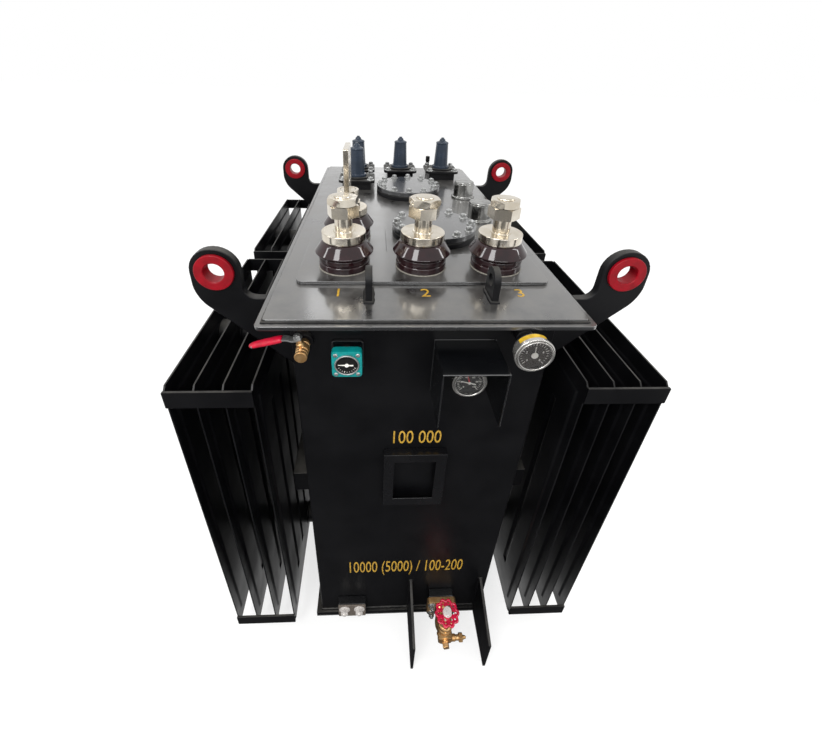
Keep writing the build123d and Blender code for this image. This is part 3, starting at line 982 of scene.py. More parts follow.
@dataclass(frozen=True)
class HexBolt:
    """A hexagon bolt on its washer, modelled once and copied to each place."""

    flats: float
    head: float
    tip: float
    washer: float = 0.0022
    washer_share: float = 0.78
    stud_share: float = 0.3
    round_share: float = 0.3

    def model(self) -> Piece:
        """Shape one bolt that stands on its own XY plane.

        Returns:
            The bolt.
        """
        ring, stud = self.flats * self.washer_share, self.flats * self.stud_share
        top = self.washer + self.head
        end = top + self.tip
        rim = self.washer * self.round_share
        washer = lathe("washer", drum(ring, self.washer, rim), Matrix(), steps=24)
        head = prism("head", self.flats, self.head, upright(0, 0, self.washer))
        profile = [(stud, top - self.head / 2, 0), (stud, end, stud * self.round_share), (0, end, 0)]
        return join("bolt", [head, washer, lathe("end", profile, Matrix(), steps=20)])

    def lay(self, name: str, places: Iterable[Matrix], finish: Finish) -> None:
        """Put a bolt at each place and make the set one piece."""
        dress(scatter(self.model(), name, places), finish)


@dataclass
class Tank:
    """The welded tank, its flange and its cover."""

    satin: tuple[str, ...] = (
        "base_plate", "front_wall", "rear_wall", "left_wall", "right_wall", "left_stiffener",
        "right_stiffener",
    )
    glossy: tuple[str, ...] = ("top_flange", "cover_plate", "lv_pad")
    edge: float = 0.0012
    bead_radius: float = 0.0032
    corner_bead: float = 0.0022
    foot_bead: float = 0.0045

    def build(self) -> None:
        """Ease the plates and weld them."""
        for nodes, finish in ((self.satin, ENAMEL), (self.glossy, GLOSS_ENAMEL)):
            for node in nodes:
                eased_node(node, node + "_steel", self.edge, finish)
        low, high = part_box("cover_plate")
        weld_round("cover_weld", low, high, low.z, self.bead_radius)
        low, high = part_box("front_wall")[0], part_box("rear_wall")[1]
        weld_round("foot_weld", low, high, low.z, self.foot_bead)
        weld_round("flange_weld", low, high, high.z, self.bead_radius)
        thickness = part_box("front_wall")[1].y - low.y
        ends = (low.y + thickness, high.y - thickness)
        roots = {f"corner_{x:.2f}_{y:.2f}": (x, y) for x in (low.x, high.x) for y in ends}
        weld_down("corner_welds", roots, low.z, high.z, self.corner_bead)


@dataclass
class LowVoltageBushings:
    """The glazed bushings in a row of three with a neutral behind, and their tinned terminals."""

    foot_rows: Rows = ((None, 1.6, 0), (-7, 1.6, 1.5), (-7, 13.5, 2), (-10.5, 15.25, 0.6), (-7, 18, 2))
    shed_rows: Rows = ((-7, -29, 1.6), (-10, -27.5, 0.8), (-4, -25, 1.5), (0, -23, 1.8), (0, -20.8, 2.2))
    crown_rows: Rows = ((1, -2, 3), (-3, 0, 0.8), (None, 0, 0))
    gasket_rows: Rows = ((None, 0, 0), (-6.2, 0, 0), (-6.2, 1.6, 0.6), (None, 1.6, 0))
    disc_rows: Rows = ((None, 0, 0), (-1, 0, 0.8), (0, 3, 1), (0, 18, 1.6))
    stud_rows: Rows = ((20.5, 18, 0), (20, 19.6, 0.6), (17, 20, 0), (17, 87, 3), (None, 87, 0))
    neutral_rows: Rows = ((17, 0, 2), (None, 0, 0))
    disc: float = 0.018
    stud: float = 0.017
    nut_flats: float = 0.0525
    nut_heights: tuple[float, ...] = (0.0225, 0.0145)
    nut_chamfers: tuple[float, ...] = (0.05, 0.2)
    nut_levels: tuple[float, ...] = (0.047, 0.0695)
    nut_turns: tuple[tuple[float, float], ...] = ((20.0, -6.4), (-19.4, 12.0), (10.0, -19.6))
    neutral_nut: float = 0.012
    spade_edge: float = 0.0012
    steps: int = 72

    def build(self) -> None:
        """Model one bushing and set a copy at each place."""
        _, shed, height = stand("lv_insulator_1")
        disc = stand("lv_terminal_1")[1]
        profile = mm(self.foot_rows, shed) + mm(self.shed_rows, shed, height)
        profile += mm(self.crown_rows, disc, height)
        porcelain = lathe("porcelain", profile, Matrix(), self.steps)
        seat = lathe("seat", mm(self.gasket_rows, shed), Matrix(), self.steps)
        for name in BUSHINGS:
            node = f"lv_insulator_{name}"
            place = stand(node)[0]
            dress(copy(porcelain, f"lv_porcelain_{name}", place), GLAZE, node)
            dress(copy(seat, f"lv_gasket_{name}", place), GASKET)
        discard(porcelain, seat)
        self.terminals(disc)
        self.neutral(disc)

    def terminals(self, disc: float) -> None:
        """Build one disc with its stud and two nuts, and set copies with the nuts as they were tightened.

        Args:
            disc: The discs' radius.
        """
        shaft = lathe("shaft", mm(self.disc_rows, disc) + mm(self.stud_rows), Matrix(), self.steps)
        nuts = [
            prism("nut", self.nut_flats, height, Matrix(), chamfer)
            for height, chamfer in zip(self.nut_heights, self.nut_chamfers)
        ]
        for name, turns in zip(BUSHINGS, self.nut_turns):
            node = f"lv_terminal_{name}"
            place = stand(node)[0]
            parts = [copy(shaft, f"lv_stud_{name}", place)]
            for nut, level, turn in zip(nuts, self.nut_levels, turns):
                parts.append(copy(nut, "nut", place @ upright(0, 0, level) @ turned(math.radians(turn))))
            dress(join(f"lv_stud_{name}", parts), TIN, node)
        discard(shaft, *nuts)

    def neutral(self, disc: float) -> None:
        """Build the neutral's disc and jam nut, and ease its spade.

        Args:
            disc: The disc's radius.
        """
        node = "lv_terminal_neutral"
        place, _, height = stand(node)
        profile = [*mm(self.disc_rows, disc), (self.stud, self.disc, 0)]
        profile += mm(self.neutral_rows, 0, height)
        shaft = lathe("neutral_shaft", profile, place, self.steps)
        nut = prism("neutral_nut", self.nut_flats, self.neutral_nut, place @ upright(0, 0, self.disc))
        dress(join("lv_stud_neutral", [shaft, nut]), TIN, node)
        mark_turning(eased_node("neutral_spade", "neutral_flag", self.spade_edge, TIN), lathed=False)


@dataclass
class HighVoltageBushings:
    """The tapered bushings on their square risers."""

    body_rows: Rows = (
        (None, 0, 0), (31, 0, 0), (31, 12, 2), (25.5, 12, 1), (21.5, 88, 1), (22.5, 90, 1), (22, 94, 2),
        (12, 98, 1), (10, 101, 0.8),
    )
    cap_rows: Rows = ((10, -6, 2), (5.5, -3.5, 1), (5, 0, 1), (None, 0, 0))
    clamp_rows: Rows = ((31.2, 0, 0), (44, 0, 0), (44, 4.5, 1), (31.2, 4.5, 0.6), (31.2, 0, 0))
    steps: int = 48
    riser_edge: float = 0.0012
    bolt_inset: float = 0.014
    bolt: HexBolt = HexBolt(flats=0.015, head=0.007, tip=0.0015)

    def build(self) -> None:
        """Ease the risers, model one bushing and set the copies and their bolts."""
        eased_node("hv_risers", "hv_riser_boxes", self.riser_edge, ENAMEL)
        profile = mm(self.body_rows) + mm(self.cap_rows, 0, stand("hv_bushing_2")[2])
        body = lathe("bushing", profile, Matrix(), self.steps)
        ring = lathe("clamp", mm(self.clamp_rows), Matrix(), self.steps)
        bolts = []
        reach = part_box("hv_risers")[1].y - centre("hv_bushing_2").y - self.bolt_inset
        for name in BUSHINGS:
            node = f"hv_bushing_{name}"
            place = stand(node)[0]
            dress(copy(body, f"hv_porcelain_{name}", place), RESIN, node)
            dress(copy(ring, f"hv_clamp_{name}", place), ENAMEL)
            bolts += [place @ upright(x * reach, y * reach, 0) for x, y in FOUR]
        discard(body, ring)
        self.bolt.lay("hv_riser_bolts", bolts, ZINC)


@dataclass
class CoverFittings:
    """Handholes, tap-changer caps, the fill post and the lifting eyes."""

    bolt: HexBolt = HexBolt(flats=0.014, head=0.0075, tip=0.002)
    bolt_count: int = 12
    bolt_inset: float = 0.011
    bolt_start: float = math.radians(27)
    gasket: float = 0.002
    gasket_inset: float = 0.0015
    rim: float = 0.0014
    lid_steps: int = 80
    cap_foot: Rows = ((None, 0, 0), (0, 0, 1), (0, 6, 2), (-5, 6, 1), (-6, 9, 1))
    cap_head: Rows = ((-6, -7, 0.4), (-6.6, -6.4, 0.3), (-6.6, 0, 4), (None, -0.8, 0))
    post_foot: Rows = ((None, 0, 0), (0, 0, 0), (0, 4, 1), (-1.5, 5, 0))
    post_head: Rows = ((-1.5, -20, 0), (0, -19, 0.6), (0, 0, 3), (None, 0, 0))
    eye_edge: float = 0.0012
    eye_bead: float = 0.0045

    def build(self) -> None:
        """Build every fitting of the cover."""
        for end in ("front", "rear"):
            self.handhole(end)
            self.post(f"tap_cap_{end}", self.cap_foot, self.cap_head, 64, STAINLESS)
        self.post("fill_post", self.post_foot, self.post_head, 40, ENAMEL)
        for side in ("left", "right"):
            node = f"cover_eye_{side}"
            eased_node(node, f"{node}_steel", self.eye_edge, ENAMEL)
            low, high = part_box(node)
            weld_round(f"{node}_weld", low, high, low.z, self.eye_bead)

    def handhole(self, end: str) -> None:
        """Build a handhole: its ring, a gasket, the lid and the bolts.

        Args:
            end: Front or rear.
        """
        ring, lid = f"handhole_ring_{end}", f"handhole_lid_{end}"
        place, radius, height = stand(lid)
        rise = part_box(lid)[0].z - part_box(ring)[0].z
        for name, size, thick, drop, finish, nodes in (
            (f"{ring}_steel", radius, rise - self.gasket, rise, ENAMEL, (ring,)),
            (f"handhole_gasket_{end}", radius - self.gasket_inset, self.gasket, self.gasket, RUBBER, ()),
            (f"{lid}_steel", radius, height, 0.0, LID_ENAMEL, (lid,)),
        ):
            rim = min(self.rim, thick / 3)
            disc = lathe(name, drum(size, thick, rim, rim), place @ upright(0, 0, -drop), self.lid_steps)
            dress(disc, finish, *nodes)
        top = place @ upright(0, 0, height)
        spots = ring_of(self.bolt_count, radius - self.bolt_inset, top, self.bolt_start)
        self.bolt.lay(f"handhole_bolts_{end}", spots, ZINC)

    def post(self, node: str, foot: Rows, head: Rows, steps: int, finish: Finish) -> None:
        """Turn a fitting that stands on the cover.

        Args:
            node: Its CAD node.
            foot: The lower rows of its profile, from the node's half width.
            head: The upper rows, from the node's top.
            steps: The facets of a full turn.
            finish: Its finish.
        """
        place, radius, height = stand(node)
        profile = mm(foot, radius) + mm(head, radius, height)
        dress(lathe(f"{node}_steel", profile, place, steps), finish, node)


@dataclass
class LiftingLugs:
    """The swan-necked lugs on the side walls, with their crimson rings."""

    head: float = 0.042
    reach: float = 0.127
    rise: float = 0.060
    step: float = 0.04815
    step_height: float = 0.008
    neck: float = 0.084
    neck_fillet: float = 0.020
    shoulder: float = 0.050
    shoulder_fillet: float = 0.026
    foot_drop: float = 0.150
    thickness: float = 0.016
    edge: float = 0.0015
    seat: float = 0.0315
    crown_steps: int = 16
    ring_rows: Rows = (
        (17.5, -12, 0.4), (19, -13.5, 0.4), (33, -13.5, 1.8), (33, 13.5, 1.8), (19, 13.5, 0.4),
        (17.5, 12, 0.4), (17.5, -12, 0),
    )
    bead_radius: float = 0.004
    bead_start: float = 0.002

    def build(self) -> None:
        """Shape one lug and one ring, and set the copies."""
        body, ring = self.body(), lathe("ring", mm(self.ring_rows), Matrix(), steps=64)
        for side, turn in (("left", math.pi), ("right", 0.0)):
            for end in ("front", "rear"):
                node = f"lifting_lug_{end}_{side}"
                low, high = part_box(node)
                wall = low.x if side == "right" else high.x
                y, top = (low.y + high.y) / 2, high.z - self.rise - self.head
                place = upright(wall, y, top) @ turned(turn) @ turned(QUARTER, "X")
                dress(copy(body, f"lug_plate_{end}_{side}", place), ENAMEL, node)
                centred = place @ upright(self.reach, self.rise, 0)
                dress(copy(ring, f"lug_ring_{end}_{side}", centred), CRIMSON)
                name = f"lug_weld_{end}_{side}"
                roots = {f"{name}_{i}": (wall, y + i * self.thickness / 2) for i in PAIR}
                weld_down(name, roots, top - self.bead_start, top - self.foot_drop, self.bead_radius)
        discard(body, ring)

    def body(self) -> Piece:
        """Cut one lug plate, about the wall's top edge: X out from the wall, Y up.

        Returns:
            The plate, with the ring's seat cut out.
        """
        turns = (math.pi - i * math.pi / self.crown_steps for i in range(self.crown_steps + 1))
        arc = [(self.head * math.cos(turn), self.head * math.sin(turn)) for turn in turns]
        crown = [(self.reach + x, self.rise + y, 0) for x, y in arc]
        outline = [
            (0, 0, 0), (self.step, 0, 0), (self.step, self.step_height, 0),
            (self.neck, self.step_height, self.neck_fillet), *crown,
            (self.reach + self.head, self.rise - self.shoulder, self.shoulder_fillet),
            (0, -self.foot_drop, 0),
        ]
        deep = self.thickness
        body = plate("lug", outline, deep, upright(0, 0, -deep / 2), edge=0)
        tool = lathe("seat", drum(self.seat, 2 * deep), upright(self.reach, self.rise, -deep), steps=48)
        return ease(carve(body, tool), self.edge)


@dataclass
class Radiators:
    """Pressed panels on two headers, tied by flat straps."""

    count: int = 4
    pitch: float = 0.050
    offset: float = 0.070
    corner: float = 0.009
    seam: float = 0.003
    flutes: int = 7
    flute_width: float = 0.060
    flute_gap: float = 0.010
    flute_depth: float = 0.0035
    flute_slope: float = 1.3
    flute_round: float = 0.0022
    flute_angle: float = math.radians(20)
    end_margin: float = 0.034
    duct: float = 0.115
    header: float = 0.030
    header_inset: float = 0.070
    root_rows: Rows = ((4, 0, 0), (0, 4, 1))
    collar_rows: Rows = ((0, -9, 0.6), (3, -6, 0), (3, 6, 0), (0, 9, 0.6))
    dome_rows: Rows = ((0, 5.2, 1), (-6, 6.4, 1), (None, 6.4, 0))
    strap_height: float = 0.037
    strap_thickness: float = 0.005
    strap_corners: tuple[float, float] = (0.001, 0.002)
    strap_inset: float = 0.005
    strap_end: float = 0.002
    weld_gap: float = 0.00015

    def build(self) -> None:
        """Press one panel and assemble the four radiators from copies."""
        low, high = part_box("radiator_front_left")
        length = high.y - low.y - 2 * (self.strap_thickness + self.weld_gap)
        height = high.z - low.z
        panel = self.panel(length, height)
        for end in ("front", "rear"):
            for side, sign in (("left", -1), ("right", 1)):
                self.assemble(f"radiator_{end}_{side}", sign, panel, length, height)
        discard(panel)

    def panel(self, length: float, height: float) -> Piece:
        """Press one panel: raised flutes that run into a cross duct at both ends, inside a flat seam.

        Args:
            length: The panel's length.
            height: The panel's height.

        Returns:
            The panel about the origin, its face along X and Y.
        """
        clear()
        bpy.ops.mesh.primitive_plane_add(size=1)
        panel = named("panel")
        panel.scale = (length, height, 1)
        panel.location.z = self.seam / 2
        bpy.ops.object.transform_apply(location=True, scale=True)
        step = self.flute_width + self.flute_gap
        starts = [(i - (self.flutes - 1) / 2) * step - self.flute_width / 2 for i in range(self.flutes)]
        edges_x = [x for start in starts for x in (start, start + self.flute_width)]
        end, duct = height / 2 - self.end_margin, height / 2 - self.duct
        edit(panel)
        for x in edges_x:
            cut_open((x, 0, 0), (1, 0, 0))
        for y in (-end, -duct, duct, end):
            cut_open((0, y, 0), (0, 1, 0))
        for x, y in FOUR:
            corner = (x * length / 2, y * (height / 2 - self.corner), 0)
            cut_open(corner, (x, y, 0), clear_outer=True)

        def raised(face: bmesh.types.BMFace) -> bool:
            """Tell whether a face lies on a flute or a duct.

            Args:
                face: A face of the scored panel.

            Returns:
                True if it is to be raised.
            """
            middle = face.calc_center_median()
            inside = edges_x[0] < middle.x < edges_x[-1] and abs(middle.y) < end
            on_flute = any(start < middle.x < start + self.flute_width for start in starts)
            return inside and (on_flute or abs(middle.y) > duct)

        pick(panel, "FACE", raised)
        bpy.ops.mesh.inset(thickness=self.flute_depth * self.flute_slope, depth=self.flute_depth)
        clear()
        bevel(panel, self.flute_round, 2, self.flute_angle)
        modify(panel, "MIRROR", use_axis=(False, False, True), use_mirror_merge=False)
        edit(panel)
        pick(panel, "EDGE", lambda edge: edge.is_boundary)
        bpy.ops.mesh.bridge_edge_loops()
        whole()
        bpy.ops.mesh.normals_make_consistent(inside=False)
        clear()
        return ease(panel, 0)

    def assemble(self, node: str, sign: int, panel: Piece, length: float, height: float) -> None:
        """Set the panels, headers and straps of one radiator.

        Args:
            node: The radiator's CAD node.
            sign: -1 on the left, 1 on the right.
            panel: The pressed panel to copy.
            length: The panels' length.
            height: The panels' height.
        """
        low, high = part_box(node)
        wall = high.x if sign < 0 else low.x
        middle = (low + high) / 2
        on_edge = Matrix(((0, 0, sign, 0), (sign, 0, 0, 0), (0, 1, 0, 0), (0, 0, 0, 1)))
        spots = [self.offset + i * self.pitch for i in range(self.count)]
        pieces = [
            copy(panel, f"{node}_{i}", upright(wall + sign * spot, middle.y, middle.z) @ on_edge)
            for i, spot in enumerate(spots)
        ]
        tube = mm(self.root_rows, self.header)
        for spot in spots[:-1]:
            tube += mm(self.collar_rows, self.header, spot)
        tube += mm(self.dome_rows, self.header, spots[-1])
        for end in PAIR:
            z = middle.z + end * (height / 2 - self.header_inset)
            foot = upright(wall, middle.y, z) @ turned(sign * QUARTER, "Y")
            pieces.append(lathe("header", tube, foot, steps=40))
            z = middle.z + end * (height / 2 - self.strap_inset - self.strap_height / 2)
            for edge in PAIR:
                face = middle.y + edge * (length / 2 + self.weld_gap)
                rear = face + max(edge, 0) * self.strap_thickness
                pieces.append(self.strap(wall, sign, spots[-1], z, rear))
        dress(join(f"{node}_panels", pieces), ENAMEL, node)

    def strap(self, wall: float, sign: int, last: float, z: float, rear: float) -> Piece:
        """Cut one strap across the panels' edges.

        Args:
            wall: The wall's outer face.
            sign: -1 on the left, 1 on the right.
            last: The distance of the last panel from the wall.
            z: The strap's middle height.
            rear: The Y of its rear face.

        Returns:
            The strap.
        """
        ends = (self.offset - self.strap_end, last + self.strap_end)
        near, far = [(wall + sign * x, corner) for x, corner in zip(ends, self.strap_corners)]
        low, high = z - self.strap_height / 2, z + self.strap_height / 2
        outline = [(x, y, r) for (x, r), y in ((near, low), (far, low), (far, high), (near, high))]
        return plate("strap", outline, self.strap_thickness, outward(0, rear, 0))


@dataclass
class Dial:
    """A printed instrument face with its pointers, in a place whose own Z points at the reader."""

    radius: float
    face: Finish
    numbers: tuple[str, ...] = ()
    marks: int = 0
    sweep: float = math.radians(270)
    digit: float = 0.0055
    film: float = 0.0005
    mark_length: float = 0.0035
    mark_gap: float = 0.001
    fine: float = 0.0005
    bold: float = 0.0009
    bold_share: float = 1.5
    bold_every: int = 5
    rim_share: float = 0.3
    tip_share: float = 1 / 3
    hub: float = 0.0036

    def build(self, name: str, place: Matrix) -> None:
        """Build the face and its print.

        Args:
            name: The instrument's name.
            place: The middle of the face.
        """
        face = lathe(f"{name}_face", drum(self.radius, self.film, self.film * self.rim_share), place)
        dress(face, self.face)
        top = place @ upright(0, 0, self.film)
        self.print_marks(name, top)
        if self.numbers:
            self.print_numbers(name, top)

    def turns(self, count: int) -> list[float]:
        """Return the angles of evenly spread stations, clockwise from the lower left."""
        first = math.pi / 2 + self.sweep / 2
        return [first - i * self.sweep / (count - 1) for i in range(count)]

    def print_marks(self, name: str, top: Matrix) -> None:
        """Print the scale's marks round the rim, some of them heavier.

        Args:
            name: The instrument's name.
            top: The middle of the face's upper side.
        """
        sizes = ((self.mark_length, self.fine), (self.mark_length * self.bold_share, self.bold))
        fine, bold = [
            plate("mark", rectangle(length, width, 0), self.film / 2, Matrix(), edge=0)
            for length, width in sizes
        ]
        reach = self.radius - self.mark_length - self.mark_gap
        strokes = []
        for number, turn in enumerate(self.turns(self.marks)):
            mark = fine if number % self.bold_every else bold
            strokes.append(copy(mark, "stroke", top @ turned(turn) @ upright(reach, 0, 0)))
        discard(fine, bold)
        dress(join(f"{name}_marks", strokes), PRINT_WHITE)

    def print_numbers(self, name: str, top: Matrix) -> None:
        """Print plain numbers inside the marks.

        Args:
            name: The instrument's name.
            top: The middle of the face's upper side.
        """
        size = self.digit * DIGIT_SHARE
        reach = self.radius - self.mark_length * 2 - size
        digits = []
        for number, turn in zip(self.numbers, self.turns(len(self.numbers))):
            place = top @ upright(reach * math.cos(turn), reach * math.sin(turn), 0)
            digits.append(lettering("digit", number, size, self.film / 2, place))
        dress(join(f"{name}_numbers", digits), PRINT_WHITE)

    def point(
        self, name: str, place: Matrix, turn: float, length: float, tail: float, width: float,
        finish: Finish,
    ) -> None:
        """Set a pointer with a round hub and a tail.

        Args:
            name: The pointer's name.
            place: The middle of the face.
            turn: Its angle from the right, anticlockwise.
            length: Its reach.
            tail: The reach of its other end.
            width: Its width at the hub.
            finish: Its finish.
        """
        half, tip = width / 2, width / 2 * self.tip_share
        side = [(-tail, -half), (0, -half), (length, -tip), (length, tip), (0, half), (-tail, half)]
        lift = place @ upright(0, 0, self.film * 2) @ turned(turn)
        blade = plate("blade", [(x, y, 0) for x, y in side], self.film, lift, edge=0)
        knob = lathe("knob", drum(self.hub, self.film * 3, self.film), lift, steps=24)
        dress(join(name, [blade, knob]), finish)


@dataclass
class BallValve:
    """The brass ball valve at the wall's top left, with its lever on a stem that leans left."""

    boss: float = 0.015
    boss_rows: Rows = ((6, 0, 0), (15, 0, 0), (15, 10, 1.4), (6, 10, 0))
    end: float = 0.0105
    start: float = 0.010
    shell_rows: Rows = (
        (-2.6, -4, 0), (-2.6, 4, 0), (0, 5, 0.6), (0, 10, 0.6), (-1.6, 10.8, 0), (-1.6, 12, 0),
        (0.6, 14, 1), (1, 20, 3), (0, 25.5, 0.8), (-1.6, 26.2, 0), (-1.6, 27.8, 0), (0, 28.6, 0.6),
        (0, 33, 0.6), (-1.6, 33.6, 0), (-1.6, 34.6, 0), (0, 35.2, 0.5),
    )
    end_rows: Rows = ((0, 0, 1.2), (None, 0, 0))
    neck_rows: Rows = ((6.8, 4, 0), (6.8, 14, 0.8), (5.4, 15, 0), (5.4, 21, 0.4), (None, 21, 0))
    lean: float = math.radians(15)
    lever_level: float = 0.0213
    lever_thickness: float = 0.0034
    lever_start: float = 0.0065
    lever_flat: float = 0.009
    lever_ramp: float = 0.009
    lever_lift: float = 0.007
    lever_edge: float = 0.0005
    lever_bends: tuple[float, float] = (0.004, 0.006)
    tip_inset: float = 0.003
    nut: tuple[float, float] = (0.011, 0.006)
    stud_rows: Rows = ((3, 4, 0), (3, 10, 1.2), (None, 10, 0))
    sleeve_squash: float = 0.62
    sleeve_trim: float = 0.0025
    sleeve_past: float = 0.0035
    sleeve_round: float = 0.002
    sleeve_shares: tuple[tuple[float, float], ...] = (
        (0.0, 0.82), (0.06, 0.97), (0.22, 1.0), (0.38, 0.94), (0.54, 0.97), (0.7, 0.88), (0.88, 0.84),
        (1.0, 0.5),
    )

    def build(self) -> None:
        """Build the boss, the ringed body with its round end, the stem's neck and the lever."""
        low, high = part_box("ball_valve")
        axis_x, axis_z = centre("ball_valve").x, low.z + self.boss
        place = outward(axis_x, high.y, axis_z)
        stem = upright(axis_x, centre("ball_valve_lever").y, axis_z) @ turned(-self.lean, "Y")
        dress(lathe("ball_valve_boss", mm(self.boss_rows), place, steps=48), ENAMEL)
        profile = mm(self.shell_rows, self.end, self.start) + mm(self.end_rows, self.end, high.y - low.y)
        shell = lathe("shell", profile, place, steps=48)
        neck = lathe("neck", mm(self.neck_rows), stem, steps=32)
        dress(join("ball_valve_body", [shell, neck]), BRASS, "ball_valve")
        place = stem @ upright(0, 0, self.lever_level)
        low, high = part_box("ball_valve_lever")
        outer = (low.x - place.translation.x) / math.cos(self.lean) + self.tip_inset
        self.lever(place, high.y - low.y, outer)
        self.sleeve(place, outer)

    def lever(self, place: Matrix, width: float, outer: float) -> None:
        """Bend the lever and cap it with a nut.

        Args:
            place: The lever's foot on the stem, its own Z up the stem.
            width: The lever's width.
            outer: How far its tip lies along its own X.
        """
        thick, flat, lift = self.lever_thickness, self.lever_flat, self.lever_lift + self.lever_thickness
        first, second = self.lever_bends
        start, ramp = self.lever_start, flat + self.lever_ramp
        top = [(start, thick, 0), (-flat, thick, first), (-ramp, lift, second), (outer, lift, 0)]
        outline = top + [(x, z - thick, r) for x, z, r in reversed(top)]
        bar = plate("bar", outline, width, place @ outward(0, width / 2, 0), self.lever_edge)
        nut = prism("nut", *self.nut, place @ upright(0, 0, thick))
        stud = lathe("stud", mm(self.stud_rows), place, steps=20)
        dress(join("ball_valve_handle", [bar, nut, stud]), ZINC, "ball_valve_lever", body="lever")

    def sleeve(self, place: Matrix, outer: float) -> None:
        """Dip the lever's outer part in vinyl.

        Args:
            place: The lever's foot on the stem.
            outer: How far its tip lies along its own X.
        """
        low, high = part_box("ball_valve_sleeve")
        half, length = (high.y - low.y) / 2, (high.x - low.x) / math.cos(self.lean) - self.sleeve_trim
        skin = [(half * share, spot * length, self.sleeve_round) for spot, share in self.sleeve_shares]
        middle = upright(outer - self.sleeve_past + length, 0, self.lever_lift + self.lever_thickness / 2)
        lie = place @ middle @ turned(-QUARTER, "Y") @ Matrix.Diagonal((self.sleeve_squash, 1, 1, 1))
        grip = lathe("ball_valve_grip", [(half / 2, 0, 0), *skin, (0, length, 0)], lie, steps=32)
        dress(grip, VINYL, "ball_valve_sleeve", body="lever")


@dataclass
class LevelGauge:
    """The oil level gauge: a teal box with a round dial, on a neck in front of a black plate."""

    plate_depth: float = 0.008
    plate_edge: float = 0.0016
    neck: float = 0.020
    neck_length: float = 0.009
    neck_root: float = 0.002
    width: float = 0.052
    height: float = 0.055
    corner: float = 0.007
    case_edge: float = 0.0022
    dial: float = 0.0186
    bezel_rows: Rows = ((0, -1, 0), (2.6, -1, 0), (2.6, 3, 1.2), (0, 3, 1.2), (0, -1, 0))
    pointer_share: float = 0.82
    tail_share: float = 0.72
    pointer_width: float = 0.0026
    pointer_turn: float = math.radians(178)
    screw: float = 0.0038
    screw_rows: Rows = ((None, 0, 0), (3.8, 0, 0), (3.8, 1.33, 0.3), (2.28, 2.356, 0.8), (None, 2.66, 0))
    screw_inset: float = 0.0072
    screw_sink: float = 0.0006
    screw_turns: tuple[float, float] = (0.6, 1.1)
    slot_width: float = 0.28
    slot_level: float = 0.4

    def build(self) -> None:
        """Build the plate, the box, the dial and its screws."""
        low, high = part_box("level_gauge")
        middle = centre("level_gauge")
        foot, front = outward(middle.x, high.y, middle.z), outward(middle.x, low.y, middle.z)
        outline = rectangle(high.x - low.x, high.z - low.z, self.corner)
        dress(plate("level_plate", outline, self.plate_depth, foot, self.plate_edge), SHEET_ENAMEL)
        start = self.plate_depth + self.neck_length
        root = start + self.neck_root
        profile = [(self.neck, 0, 0), (self.neck, root, 0), (0, root, 0)]
        dress(lathe("level_neck", profile, foot, steps=40), ENAMEL)
        outline, depth = rectangle(self.width, self.height, self.corner), high.y - low.y - start
        case = plate("level_case", outline, depth, foot @ upright(0, 0, start), self.case_edge)
        dress(case, TEAL, "level_gauge")
        dress(lathe("level_bezel", mm(self.bezel_rows, self.dial), front), ZINC)
        dial = Dial(self.dial, DIAL_BLACK, marks=9, sweep=math.radians(130), mark_length=0.0022)
        dial.build("level", front @ turned(math.pi))
        reach, width = self.dial * self.pointer_share, self.pointer_width
        tail = reach * self.tail_share
        dial.point("level_pointer", front, self.pointer_turn, reach, tail, width, PRINT_WHITE)
        self.screws(front)

    def screws(self, front: Matrix) -> None:
        """Set domed screws with a slot across each head in the box's corners.

        Args:
            front: The middle of the box's face.
        """
        head = lathe("head", mm(self.screw_rows), Matrix(), steps=24)
        slot = rectangle(self.screw * 3, self.screw * self.slot_width, 0)
        level = upright(0, 0, self.screw * self.slot_level)
        ease(carve(head, plate("slot", slot, self.screw, level, edge=0)), 0)
        across, up = self.width / 2 - self.screw_inset, self.height / 2 - self.screw_inset
        first, step = self.screw_turns
        spots = [
            front @ upright(x * across, y * up, -self.screw_sink) @ turned(first + step * i)
            for i, (x, y) in enumerate(FOUR)
        ]
        dress(scatter(head, "level_screws", spots), ZINC)


